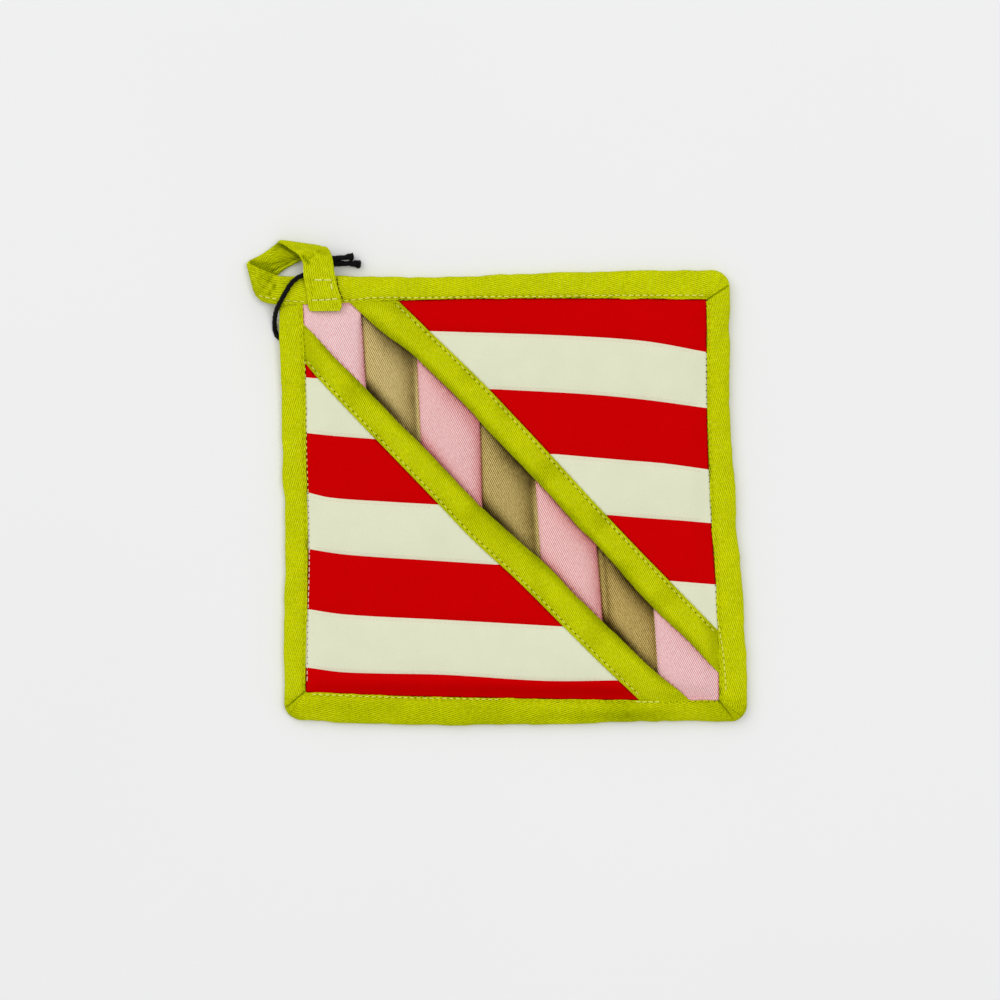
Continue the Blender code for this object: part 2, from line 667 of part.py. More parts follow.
def make_material(name):
    material = bpy.data.materials.new(name)
    material.use_nodes = True
    shader = material.node_tree.nodes["Principled BSDF"]
    shader.inputs["Base Color"].default_value = COLOURS[name]
    shader.inputs["Roughness"].default_value = 0.9
    shader.inputs["Metallic"].default_value = 0.0
    material.diffuse_color = COLOURS[name]
    return material


def main():
    clear_scene()
    collection = bpy.data.collections.new("quilted pot holder")
    bpy.context.scene.collection.children.link(collection)
    cotton = make_material("striped cotton")
    green = make_material("green twill")
    black = make_material("black cord")
    make_pad(cotton, collection)
    make_binding(green, collection)
    make_strip("bias_strip_upper", UPPER_STRIP, green, collection)
    make_strip("bias_strip_lower", LOWER_STRIP, green, collection)
    make_loop(green, collection)
    make_tube("tie_cord", CORD_ROUTE, CORD_SPREAD, black, collection)
    make_tube("tie_end_upper", UPPER_END_ROUTE, END_SPREAD, black, collection)
    make_tube("tie_end_lower", LOWER_END_ROUTE, END_SPREAD, black, collection)
    make_knot(black, collection)


main()
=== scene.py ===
"""Looks of a quilted pot holder: striped patchwork, a diagonal band, green binding, loop and cord.

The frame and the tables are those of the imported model: the origin is the middle of the flat back,
+X to the right of the front, +Y up it and +Z out of it.  Sizes are in millimetres and are turned
into metres where a mesh is made.
"""
import math
import bmesh
import bpy
import numpy as np
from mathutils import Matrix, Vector
from mathutils.bvhtree import BVHTree
from mathutils.geometry import delaunay_2d_cdt
from mathutils.kdtree import KDTree


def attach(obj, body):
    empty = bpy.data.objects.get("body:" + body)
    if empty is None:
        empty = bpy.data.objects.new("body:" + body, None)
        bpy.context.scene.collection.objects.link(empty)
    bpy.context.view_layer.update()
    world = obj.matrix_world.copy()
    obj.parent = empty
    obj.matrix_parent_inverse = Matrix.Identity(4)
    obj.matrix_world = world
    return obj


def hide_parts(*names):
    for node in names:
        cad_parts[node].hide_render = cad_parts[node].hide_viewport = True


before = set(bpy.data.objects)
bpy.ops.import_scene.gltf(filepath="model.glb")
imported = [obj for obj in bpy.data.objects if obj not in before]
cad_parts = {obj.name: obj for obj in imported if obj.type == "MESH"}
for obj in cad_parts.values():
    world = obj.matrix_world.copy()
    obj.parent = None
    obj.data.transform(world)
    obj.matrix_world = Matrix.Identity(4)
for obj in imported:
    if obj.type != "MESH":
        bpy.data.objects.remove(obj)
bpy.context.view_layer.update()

MM = 0.001

# ---------------------------------------------------------------- picture
VIEW_CENTRE = (-5.35, -0.89)
CAMERA_HEIGHT = 1368.8
LENS = 110.0
SENSOR = 36.0
FLOOR_HEIGHT = -0.05
FLOOR_SIZE = 4000.0

# ---------------------------------------------------------------- sizes shared with the model
BINDING_WIDTH = 11.0
OUTER_CORNER_RADIUS = 8.0
INNER_CORNER_RADIUS = 1.0
SMALLEST_RADIUS = 0.4
SEAM_HEIGHT = 5.2
STRIPE_PUFF = 1.0
RIM_HEIGHT = 4.8
UNDER_STRIP_HEIGHT = 5.7
SETTLE_WIDTH = 9.0
RIM_STEP = 0.7                # how far the pad sinks under the binding
CORNER_LIFT = 3.0
LIFT_START = 10.0
LIFT_END = 48.0
LIFTED_CORNER = (-103.0, 99.0)
TAPE_THICKNESS = 1.8
CORD_DIAMETER = 2.0
STRIPE_WIDTH = 25.0
CROWN_BY_STRIP = 0.75

# The place along a side, its outer edge, and the inner edge of the binding.
LEFT_SIDE = (
    (-85.0, -101.9, -92.2), (-63.0, -101.9, -91.9), (-19.0, -101.2, -91.0), (17.0, -102.6, -91.9),
    (44.0, -103.0, -92.0), (85.0, -103.9, -93.2),
)
RIGHT_SIDE = (
    (-85.0, 105.2, 92.4), (-45.0, 103.2, 91.4), (-19.0, 100.8, 89.7), (4.0, 99.5, 88.3),
    (44.0, 97.4, 87.0), (88.0, 97.2, 87.0),
)
BOTTOM_SIDE = (
    (-92.0, -99.4, -86.8), (-56.6, -101.2, -88.2), (-12.0, -101.4, -89.2), (32.6, -100.8, -90.0),
    (59.0, -99.9, -90.3), (92.0, -99.8, -90.3),
)
TOP_SIDE = (
    (-103.4, 98.8, 86.0), (-74.5, 98.9, 86.9), (-47.7, 98.7, 88.2), (-12.0, 99.5, 89.0),
    (41.5, 101.4, 89.1), (86.0, 101.7, 88.7),
)
SIDES = {"left": LEFT_SIDE, "bottom": BOTTOM_SIDE, "right": RIGHT_SIDE, "top": TOP_SIDE}

# Section of the binding: distance from the outer edge, height.
BINDING_SECTION = (
    (11.0, 0.0), (6.5, 0.0), (2.4, 0.0), (0.8, 0.8), (0.0, 2.2), (0.0, 3.5), (0.7, 4.7),
    (2.4, 5.5), (5.0, 6.05), (8.0, 6.0), (10.4, 5.5), (11.0, 5.1), (11.0, 4.6),
    (3.0, 4.5), (1.7, 4.0), (1.2, 3.2), (1.2, 2.5), (1.7, 1.7), (3.0, 1.2), (11.0, 1.2),
)
BINDING_SKIN = 12            # rows of the section before the cloth turns back inside
# Edge of the pad inside the binding, from the front down to the back.
PAD_EDGE = (
    (8.0, 4.1), (3.0, 4.1), (2.0, 3.7), (1.5, 3.1), (1.5, 2.6), (2.0, 1.9), (3.0, 1.5), (11.3, 1.5),
    (11.45, 0.0),
)

# Seams between the stripes, each as points from the diagonal outwards (x, y).
RIGHT_SEAMS = (
    ((-36.6, 74.5), (23.6, 72.5), (59.3, 70.0), (87.0, 65.1)),
    ((-7.6, 48.6), (32.6, 46.4), (59.3, 43.9), (87.4, 40.1)),
    ((19.2, 19.6), (50.4, 16.9), (68.2, 15.4), (87.9, 12.7)),
    ((43.7, -7.6), (59.3, -8.9), (74.9, -10.0), (88.8, -11.2)),
    ((70.9, -37.0), (79.4, -37.7), (90.5, -38.6)),
)
LEFT_SEAMS = (
    ((-88.8, 53.5), (-93.2, 54.0)),
    ((-61.1, 26.3), (-81.2, 27.9), (-93.2, 29.2)),
    ((-33.5, -2.9), (-56.6, -1.6), (-81.2, 0.2), (-92.8, 2.9)),
    ((-7.6, -29.7), (-38.8, -27.7), (-74.5, -25.2), (-92.3, -22.5)),
    ((21.4, -57.3), (-29.9, -54.4), (-74.5, -52.0), (-91.9, -49.5)),
    ((47.3, -81.4), (14.7, -81.6), (-29.9, -78.9), (-74.5, -77.8), (-91.9, -75.6)),
)
# Bias strips, from the upper left end down to the lower right: outer edge, inner edge (x, y).
UPPER_STRIP = (
    ((-50.0, 87.0), (-71.5, 86.2)), ((-45.9, 83.0), (-59.8, 75.8)), ((-33.0, 70.5), (-42.1, 61.5)),
    ((-14.5, 52.6), (-23.2, 43.7)), ((2.5, 34.8), (-6.7, 25.9)), ((19.2, 16.9), (10.3, 8.0)),
    ((35.5, -0.9), (26.8, -9.8)), ((52.2, -18.7), (43.3, -27.7)), ((69.6, -36.6), (59.3, -45.5)),
    ((87.0, -54.4), (78.0, -63.3)), ((91.0, -58.4), (91.7, -77.6)),
)
LOWER_STRIP = (
    ((-91.9, 60.0), (-91.9, 76.5)), ((-86.1, 53.1), (-77.6, 61.5)), ((-68.9, 34.8), (-60.0, 43.7)),
    ((-51.5, 16.9), (-42.1, 25.9)), ((-34.3, -0.9), (-25.2, 8.0)), ((-17.2, -18.7), (-7.8, -9.8)),
    ((2.7, -37.0), (12.5, -27.7)), ((20.7, -54.9), (30.8, -45.5)), ((38.6, -72.7), (48.8, -63.3)),
    ((50.8, -84.3), (66.0, -78.9)), ((56.2, -89.4), (78.0, -89.0)),
)
# Seams of the band: x of the end on the lower strip, x of the end on the upper strip.
BAND_SEAMS = (
    (-91.0, -71.0), (-65.1, -67.3), (-40.6, -42.4), (-13.2, -14.3), (12.9, 10.5), (40.6, 37.9),
    (65.1, 63.3), (76.5, 90.0),
)

# ---------------------------------------------------------------- loop
# Fold edge, its height, stitched edge, its height, bulge of the middle.  The first two stations lie
# in the end of the binding, which the tape grows out of, and the second of them is station 0.
LOOP_STATIONS = (
    ((-97.0, 98.2), 7.3, (-97.0, 86.9), 7.3, 0.0),
    ((-102.4, 98.7), 8.0, (-102.4, 86.3), 8.0, 0.3),
    ((-106.6, 99.8), 7.0, (-107.0, 86.5), 6.6, 0.4),
    ((-110.6, 101.7), 6.2, (-110.3, 87.2), 5.9, 0.3),
    ((-114.2, 103.3), 5.6, (-112.3, 88.3), 5.4, 0.1),
    ((-117.0, 104.4), 4.9, (-113.6, 89.7), 4.8, 0.0),
    ((-118.1, 105.1), 3.6, (-114.2, 91.0), 3.5, 0.0),
    ((-117.4, 106.2), 2.3, (-112.8, 92.2), 2.2, 0.0),
    ((-115.4, 107.3), 1.6, (-109.8, 94.8), 1.5, -0.2),
    ((-112.3, 108.9), 1.5, (-105.9, 98.8), 1.3, -0.9),
    ((-109.1, 111.0), 1.7, (-101.3, 102.5), 1.2, -1.3),
    ((-106.6, 112.9), 2.1, (-95.7, 105.5), 1.5, -1.3),
    ((-105.3, 113.8), 2.7, (-90.2, 108.2), 2.3, -0.7),
    ((-104.8, 114.2), 3.6, (-85.8, 110.6), 3.5, -0.2),
    ((-104.3, 114.5), 5.2, (-83.3, 111.7), 5.2, 0.0),
    ((-103.3, 114.0), 6.8, (-81.7, 110.8), 6.8, 0.0),
    ((-99.2, 111.2), 7.9, (-80.6, 108.7), 7.8, 0.2),
    ((-95.2, 108.3), 9.3, (-79.8, 106.1), 9.0, 0.3),
    ((-93.1, 104.5), 10.6, (-79.3, 102.8), 9.9, 0.3),
    ((-92.8, 100.4), 11.1, (-78.7, 99.2), 10.2, 0.2),
    ((-92.4, 96.3), 10.7, (-78.1, 95.9), 10.1, 0.1),
    ((-91.8, 92.4), 10.2, (-77.2, 92.5), 10.0, 0.1),
    ((-91.0, 88.8), 10.0, (-76.1, 89.2), 9.9, 0.1),
    ((-90.7, 85.0), 9.4, (-75.7, 85.4), 9.3, 0.1),
    ((-90.0, 83.1), 9.2, (-76.6, 83.2), 9.1, 0.0),
)
# Creases of the tape: first and last station, width, depth, how dark its painted shade is, points (x, y).
# Below 0 the depth is a ridge, and the darkness a share of the tape's painted shade that is taken off there.
LOOP_CREASES = (
    (6.0, 11.5, 1.35, 0.35, 0.52, ((-115.6, 104.6), (-107.9, 104.5), (-102.3, 105.8), (-97.0, 107.6))),
    (6.5, 10.5, 0.80, 0.10, 0.45, ((-112.0, 104.3), (-107.8, 102.3), (-104.6, 101.4))),
    (11.0, 14.0, 0.90, 0.25, 0.40, ((-104.4, 112.6), (-101.0, 110.4), (-98.6, 109.6))),
    (0.5, 5.0, 0.60, 0.25, 0.38, ((-113.2, 97.8), (-110.2, 99.4), (-107.2, 101.4))),
    (1.0, 5.0, 0.55, 0.20, 0.34, ((-112.6, 94.6), (-109.8, 97.6), (-107.4, 100.2))),
    (5.5, 10.0, 1.70, 0.20, 0.58, ((-117.4, 105.2), (-113.0, 103.8), (-109.5, 102.6), (-106.4, 101.0))),
    (7.0, 12.0, 0.50, 0.60, 0.90, ((-107.0, 101.5), (-100.9, 104.5), (-97.6, 106.4), (-94.3, 108.4))),
    (8.5, 12.0, 1.10, 0.30, 0.60, ((-103.0, 113.3), (-100.0, 111.4), (-96.8, 109.5), (-93.8, 107.9))),
    (7.5, 11.0, 0.45, 0.05, 0.40, ((-106.8, 99.3), (-101.6, 102.3), (-97.4, 104.9), (-94.4, 107.0))),
    (7.0, 12.0, 0.70, -0.45, -0.9, ((-105.8, 101.0), (-101.0, 103.6), (-96.4, 106.2))),
    (0.5, 4.6, 0.95, 0.50, 0.60, ((-109.3, 95.4), (-107.0, 98.6))),
    (0.5, 4.6, 0.80, 0.40, 0.46, ((-110.6, 93.9), (-109.4, 95.4))),
    (0.2, 4.6, 1.00, 0.55, 0.62, ((-107.8, 90.8), (-105.4, 94.4))),
    (0.8, 5.0, 0.80, 0.15, 0.52, ((-109.6, 101.0), (-105.6, 99.3))),
    (0.0, 4.6, 0.90, -0.40, -0.7, ((-105.6, 97.9), (-101.3, 95.4))),
    (0.3, 4.6, 0.80, -0.35, -0.7, ((-111.2, 96.6), (-107.4, 94.2), (-106.4, 91.6))),
    (2.0, 5.0, 1.00, -0.30, -0.5, ((-115.4, 99.8), (-112.2, 93.6))),
    (15.0, 18.5, 0.90, 0.45, 0.62, ((-92.7, 107.0), (-90.6, 104.4))),
    (14.5, 18.0, 0.70, 0.40, 0.40, ((-92.4, 105.4), (-87.3, 107.9), (-85.2, 110.4))),
    (14.5, 18.0, 0.90, -0.40, -0.8, ((-95.4, 109.6), (-89.0, 109.4), (-84.0, 106.0))),
    (17.5, 23.0, 0.50, 0.20, 0.18, ((-89.6, 97.6), (-88.8, 90.0))),
    (18.0, 22.6, 0.45, 0.25, 0.22, ((-88.2, 88.1), (-76.4, 88.6))),
)

# ---------------------------------------------------------------- tied cord
KNOT_CENTRE = (-80.7, 105.5, 3.6)
KNOT_SIZE = (5.0, 6.8, 4.4)
CORD_ROUTE = (
    (-83.5, 103.5, 4.7), (-87.1, 101.5, 6.8), (-90.9, 99.9, 8.7), (-94.9, 98.2, 9.9),
    (-98.3, 95.2, 10.4), (-100.9, 91.0, 10.3), (-103.1, 87.1, 9.8), (-104.8, 84.0, 7.9),
    (-105.8, 81.0, 4.6), (-106.2, 78.0, 2.1), (-106.0, 74.8, 1.1), (-104.6, 72.0, 1.1),
    (-101.7, 70.8, 1.1), (-98.8, 72.0, 1.1), (-97.0, 75.0, 1.1), (-94.6, 79.6, 1.1),
    (-91.8, 84.8, 1.1), (-88.7, 90.3, 1.1), (-85.4, 96.2, 1.1), (-82.0, 102.4, 1.5),
)
UPPER_END_ROUTE = ((-78.0, 107.1, 3.7), (-76.1, 107.3, 3.4), (-73.4, 107.7, 2.9), (-70.8, 107.9, 2.4))
LOWER_END_ROUTE = ((-77.8, 104.8, 2.9), (-74.9, 104.9, 2.5), (-70.9, 104.8, 2.1), (-67.5, 104.5, 1.9))
# Share of a free end's length, and its width there as a part of the cord's diameter.
END_SPREAD = ((0.0, 1.04), (0.3, 1.02), (0.6, 0.92), (0.84, 1.35), (1.0, 1.7))

# ---------------------------------------------------------------- stitch rows, as points (x, y)
LOOP_ROW = ((-113.2, 90.6), (-110.9, 89.7), (-105.3, 88.7), (-99.0, 87.7), (-93.7, 87.4), (-90.4, 87.5))
TOP_ROW = (
    (-75.3, 87.8), (-69.6, 88.4), (-62.0, 89.3),
    (-50.8, 89.5), (-41.0, 89.4), (-27.7, 89.6), (-5.4, 89.9), (16.9, 90.0), (28.1, 90.2),
    (39.2, 90.4), (61.5, 90.4), (83.8, 90.4), (86.5, 89.9),
)
RIGHT_ROW = (
    (87.0, 88.3), (86.8, 68.2), (86.8, 43.7), (87.7, 16.9), (89.0, -9.8), (90.6, -36.6),
    (91.8, -54.4), (93.7, -66.0), (94.6, -74.0), (95.4, -83.8), (95.0, -86.1), (94.0, -88.1),
)
BOTTOM_ROW = (
    (90.5, -90.7), (79.4, -90.8), (66.0, -90.9), (53.3, -90.9), (39.2, -90.6), (16.9, -90.3),
    (-5.4, -89.9), (-27.7, -89.5), (-50.0, -89.0), (-72.3, -88.3), (-90.1, -87.5),
)
LEFT_ROW = (
    (-93.1, 83.8), (-92.4, 61.5), (-92.0, 43.7), (-91.7, 21.4), (-90.9, -0.9), (-90.5, -27.7),
    (-91.1, -54.4), (-91.5, -84.0),
)
TAB_ROWS = (
    ((-88.2, 96.9), (-78.8, 96.8)),
    ((-89.2, 87.9), (-85.0, 88.0), (-76.0, 88.7)),
    ((-80.5, 95.6), (-79.4, 89.4)),
)
TAB_SIDE_ROW = ((-78.1, 100.4), (-77.7, 95.8), (-76.9, 92.4), (-75.9, 89.8), (-75.2, 87.8), (-75.6, 85.6))
# Mitres of the binding: inner end, outer end.
MITRES = (
    ((87.3, 88.7), (96.4, 94.6)),
    ((92.2, -90.2), (98.4, -98.1)),
    ((-92.6, -86.6), (-100.6, -93.2)),
)


# ================================================================ curves and noise
def mix(low, high, share):
    return low + (high - low) * share


def smooth_step(value):
    value = np.clip(value, 0.0, 1.0)
    return value * value * (3 - 2 * value)


def hermite(rows, column, places):
    """Values of a column at places, on a smooth curve through the table's rows."""
    x = np.array([row[0] for row in rows], float)
    y = np.array([row[column] for row in rows], float)
    places = np.clip(np.asarray(places, float), x[0], x[-1])
    low = np.clip(np.searchsorted(x, places, side="left") - 1, 0, len(x) - 2)
    high = low + 1
    before = np.maximum(low - 1, 0)
    after = np.minimum(high + 1, len(x) - 1)
    span = x[high] - x[low]
    t = (places - x[low]) / span
    slope_low = (y[high] - y[before]) / (x[high] - x[before]) * span
    slope_high = (y[after] - y[low]) / (x[after] - x[low]) * span
    return ((2 * t ** 3 - 3 * t ** 2 + 1) * y[low] + (t ** 3 - 2 * t ** 2 + t) * slope_low
            + (3 * t ** 2 - 2 * t ** 3) * y[high] + (t ** 3 - t ** 2) * slope_high)


def line_at(points, places):
    """The y at which a chain of points passes places in x."""
    return hermite(sorted(points, key=lambda point: point[0]), 1, places)


def smooth_points(points, substeps):
    """Points of a Catmull-Rom curve through the given ones, with substeps in each gap."""
    points = np.array(points, float)
    before = np.vstack([points[:1], points[:-2]])
    start = points[:-1]
    end = points[1:]
    after = np.vstack([points[2:], points[-1:]])
    t = (np.arange(substeps) / substeps)[None, :, None]
    before, start, end, after = (part[:, None, :] for part in (before, start, end, after))
    curve = 0.5 * (2 * start + (end - before) * t + (2 * before - 5 * start + 4 * end - after) * t ** 2
                   + (3 * start - before - 3 * end + after) * t ** 3)
    return np.vstack([curve.reshape(-1, points.shape[1]), points[-1:]])


def run_on(points, length):
    """A chain of points with a straight piece added at each end."""
    points = np.array(points, float)
    first = points[0] - points[1]
    last = points[-1] - points[-2]
    first *= length / np.linalg.norm(first)
    last *= length / np.linalg.norm(last)
    return np.vstack([points[:1] + first, points, points[-1:] + last])


def lengths(points):
    """Distance along a chain of points to each of them."""
    steps = np.linalg.norm(np.diff(points, axis=0), axis=1)
    return np.concatenate([[0.0], np.cumsum(steps)])


def evenly(points, pitch):
    """Points about a pitch apart on the smooth curve through the given ones."""
    curve = smooth_points(points, 12)
    run = lengths(curve)
    count = max(int(round(run[-1] / pitch)), 1)
    places = np.linspace(0.0, run[-1], count + 1)
    return np.column_stack([np.interp(places, run, curve[:, axis]) for axis in range(curve.shape[1])])


def soft_noise(x, y, pitch, seed):
    """Smooth noise from -1 to 1 whose bumps are about a pitch wide."""
    x = np.asarray(x, float) / pitch
    y = np.asarray(y, float) / pitch
    column = np.floor(x)
    row = np.floor(y)
    across = smooth_step(x - column)
    up = smooth_step(y - row)

    def corner(i, j):
        value = np.sin((column + i) * 127.1 + (row + j) * 311.7 + seed * 74.7) * 43758.5453
        return 2 * (value - np.floor(value)) - 1

    return mix(mix(corner(0, 0), corner(1, 0), across), mix(corner(0, 1), corner(1, 1), across), up)


def uneven(x, y, waves):
    """Sum of soft noises, each of a size, a pitch and a seed."""
    return sum(size * soft_noise(x, y, pitch, seed) for size, pitch, seed in waves)


def bell(distance, width):
    """1 at no distance, and next to nothing two widths away."""
    return np.exp(-(distance / width) ** 2)


# ================================================================ outline
def across_at(side, along, inset):
    """Coordinate across a side at a distance in from its outer edge."""
    rows = SIDES[side]
    return mix(hermite(rows, 1, along), hermite(rows, 2, along), inset / BINDING_WIDTH)


def corner_arc(upright, level, inset, start_degrees, steps):
    """Points round a corner, anticlockwise from the given direction."""
    radius = max(mix(OUTER_CORNER_RADIUS, INNER_CORNER_RADIUS, inset / BINDING_WIDTH), SMALLEST_RADIUS)
    x = across_at(upright, 0.0, inset)
    y = across_at(level, 0.0, inset)
    for _ in range(4):
        x = across_at(upright, y, inset)
        y = across_at(level, x, inset)
    centre_x = x + radius * (1 if upright == "left" else -1)
    centre_y = y + radius * (1 if level == "bottom" else -1)
    angles = np.radians(start_degrees + 90 * np.arange(steps + 1) / steps)
    return np.column_stack([centre_x + radius * np.cos(angles), centre_y + radius * np.sin(angles)])


def side_run(side, start, end, inset, steps):
    """Points between two places along a side, both left out."""
    along = np.linspace(start, end, steps + 1)[1:-1]
    across = across_at(side, along, inset)
    return np.column_stack([across, along] if side in ("left", "right") else [along, across])


def outline(inset, side_steps, corner_steps, left_start=None, top_end=None):
    """Down the left side, round three corners and back along the top; closed if no ends are given."""
    lower_left = corner_arc("left", "bottom", inset, 180, corner_steps)
    lower_right = corner_arc("right", "bottom", inset, 270, corner_steps)
    upper_right = corner_arc("right", "top", inset, 0, corner_steps)
    last = []
    if left_start is None:
        upper_left = corner_arc("left", "top", inset, 90, corner_steps)
        left_start = upper_left[-1][1]
        top_end = upper_left[0][0]
        first = []
        last = [upper_left]
    else:
        first = [np.array([[across_at("left", left_start, inset), left_start]])]
        last = [np.array([[top_end, across_at("top", top_end, inset)]])]
    return np.vstack(first + [
        side_run("left", left_start, lower_left[0][1], inset, side_steps), lower_left,
        side_run("bottom", lower_left[-1][0], lower_right[0][0], inset, side_steps), lower_right,
        side_run("right", lower_right[-1][1], upper_right[0][1], inset, side_steps), upper_right,
        side_run("top", upper_right[-1][0], top_end, inset, side_steps)] + last)


def lift(x, y):
    """Height that the looped corner gains as it stands off the table."""
    along_diagonal = ((x - LIFTED_CORNER[0]) - (y - LIFTED_CORNER[1])) / math.sqrt(2)
    return CORNER_LIFT * smooth_step((LIFT_END - along_diagonal) / (LIFT_END - LIFT_START))


def inner_edge_distance(x, y):
    """Distance to the nearest inner edge of the binding."""
    return np.minimum.reduce([
        x - across_at("left", y, BINDING_WIDTH), across_at("right", y, BINDING_WIDTH) - x,
        y - across_at("bottom", x, BINDING_WIDTH), across_at("top", x, BINDING_WIDTH) - y])


# ================================================================ front of the pad
PINK_PROFILE = (
    # share of the patch, height, and how much shade is painted there for the fold it lies in
    (0.0, 5.6, 0.06), (0.03, 6.4, 0.0), (0.12, 7.1, 0.0), (0.30, 7.5, 0.0), (0.55, 7.4, 0.0),
    (0.76, 6.9, 0.02), (0.86, 6.3, 0.10), (0.94, 5.6, 0.30), (0.98, 4.9, 0.50), (1.0, 4.2, 1.0),
)
KHAKI_PROFILE = (
    (0.0, 4.3, 1.0), (0.02, 4.9, 0.30), (0.05, 5.7, 0.04), (0.22, 6.8, 0.0), (0.50, 6.9, 0.0),
    (0.62, 6.5, 0.06), (0.74, 5.9, 0.20), (0.84, 5.0, 0.42), (0.895, 4.5, 0.58), (0.92, 4.6, 0.50),
    (0.94, 5.2, 0.14), (0.96, 5.5, 0.0), (0.985, 5.5, 0.04), (1.0, 5.3, 0.32),
)
LAST_KHAKI_PROFILE = (
    (0.0, 4.3, 1.0), (0.02, 4.9, 0.50), (0.045, 5.3, 0.10), (0.085, 5.3, 0.10), (0.125, 5.0, 0.45),
    (0.17, 5.6, 0.18), (0.24, 6.4, 0.02), (0.36, 6.8, 0.0),
    (0.60, 6.9, 0.0), (0.80, 6.5, 0.04), (0.92, 5.9, 0.16), (0.97, 5.5, 0.34), (1.0, 5.2, 0.50),
)
# Share of the way from the lower strip to the upper one, share of the rise above the floor, and the painted
# shade of the fold there.
PINK_RISE = (
    (0.0, 0.0, 1.0), (0.03, 0.36, 0.66), (0.075, 0.72, 0.36), (0.14, 0.92, 0.14), (0.26, 1.02, 0.0),
    (0.50, 1.02, 0.0), (0.70, 0.97, 0.05), (0.84, 0.82, 0.20), (0.92, 0.56, 0.36), (0.97, 0.25, 0.52),
    (1.0, 0.0, 0.85),
)
KHAKI_RISE = (
    (0.0, 0.0, 1.0), (0.035, 0.22, 0.92), (0.09, 0.58, 0.50), (0.16, 0.86, 0.16), (0.28, 1.0, 0.0),
    (0.50, 1.0, 0.0), (0.66, 0.92, 0.10), (0.80, 0.72, 0.34), (0.90, 0.42, 0.62), (0.97, 0.14, 0.80),
    (1.0, 0.0, 0.9),
)
BAND_FLOOR = 3.2
PINK_FLOORS = (6.3, 5.0, 5.0, 6.0)
# How much painted shade each patch gets beside the lower strip and beside the upper strip.
LOWER_LINE = (0.10, 1.0, 0.95, 1.0, 0.95, 1.0, 0.15)
UPPER_LINE = (0.05, 0.85, 1.0, 0.95, 1.0, 0.95, 0.30)
THIN_LINE = 0.8              # painted shade: the dark line right beside a strip, along every patch
THIN_LINE_WIDTH = 0.014      # as a share of the way across the band
POCKET_DEPTH = 1.2
LOWEST_FRONT = 1.4
DITCH_DEPTH = 0.30
DITCH_WIDTH = 0.45
LOW_FRONT_SHADE = 0.20        # painted shade that darkens the front down to the lower binding
LOW_FRONT = -80.0            # where that starts
EDGE_SHADE = 0.95             # painted shade of the front right beside a binding or a strip
EDGE_SHADE_WIDTH = 0.45
STRIPE_CROWN = 3.2           # the higher, the flatter a stripe is between its seams
PUCKER_HEIGHT = 0.14
# Puckers along the seams: size, shift from stripe to stripe, pitch, seed, how far they reach.
SEAM_PUCKERS = ((1.0, 37.0, 6.5, 3, 3.0), (0.6, 53.0, 3.3, 4, 1.6))
STRIPE_WAVES = ((0.16, 14.0, 5), (0.06, 5.0, 6))
FIRST_PATCH_START = 0.35     # the band's first patch shows its form from here on
LAST_PATCH_END = 0.45        # and its last patch up to here
LAST_KHAKI = 5
# How dark the painted shade beside a strip is at a patch's far side, and where in the patch it changes to
# that.
LOWER_LINE_FADE = (0.35, 0.15, 0.6)
UPPER_LINE_START = (0.25, 0.05, 0.5)
BAND_WAVES = ((0.10, 7.0, 9),)
WRINKLE_HEIGHT = 0.10
PINK_SEAMS = (2, 4, 6)       # where a pink patch starts to the right of a khaki one
PINK_SEAM_REACH = 2.0
TUCK_ALONG = 0.7
TUCK_ACROSS = 0.22
QUILTING_DEPTH = 0.5
QUILTING_WIDTH = 1.6
STRIP_WIDTH = 12.0
STRIP_RUN_ON = 12.0          # how far a strip's edges count past its ends


def strip_edge(table, column):
    """Points along the outer (0) or the inner (1) edge of a strip."""
    return [row[column] for row in table]


def strip_shares(x, y):
    """How far across each bias strip points are: 0 at its outer edge, 1 at its inner edge."""
    shares = []
    for table in (UPPER_STRIP, LOWER_STRIP):
        outer, inner = (line_at(run_on(strip_edge(table, column), STRIP_RUN_ON), x) for column in (0, 1))
        shares.append((outer - y) / (outer - inner))
    return shares


def stripe_place(x, y, right_side):
    """Number of the stripe, share of its width, and distance to its nearest seam."""
    if right_side:
        first = across_at("top", x, BINDING_WIDTH)
        seams = [line_at(seam, x) for seam in RIGHT_SEAMS]
        last = seams[-1] - STRIPE_WIDTH
    else:
        seams = [line_at(seam, x) for seam in LEFT_SEAMS]
        first = seams[0] + STRIPE_WIDTH
        last = across_at("bottom", x, BINDING_WIDTH)
    bounds = np.array([first] + seams + [last])
    number = np.clip((y[None] < bounds).sum(axis=0) - 1, 0, len(bounds) - 2)
    upper = np.take_along_axis(bounds, number[None], 0)[0]
    lower = np.take_along_axis(bounds, number[None] + 1, 0)[0]
    seam_distance = np.abs(y[None] - np.array(seams)).min(axis=0)
    return number, np.clip((upper - y) / (upper - lower), 0.0, 1.0), seam_distance


def band_place(x, y):
    """Number of the patch, share of its width, share of the way across, and place beside its seams."""
    foot_y = line_at(strip_edge(LOWER_STRIP, 1), x)
    head_y = line_at(strip_edge(UPPER_STRIP, 1), x)
    across = (y - foot_y) / (head_y - foot_y)
    seams = np.array([mix(foot, head, np.clip(across, 0.0, 1.0)) for foot, head in BAND_SEAMS])
    number = np.clip((x[None] >= seams).sum(axis=0) - 1, 0, len(seams) - 2)
    left = np.take_along_axis(seams, number[None], 0)[0]
    right = np.take_along_axis(seams, number[None] + 1, 0)[0]
    return number, np.clip((x - left) / (right - left), 0.0, 1.0), across, x[None] - seams


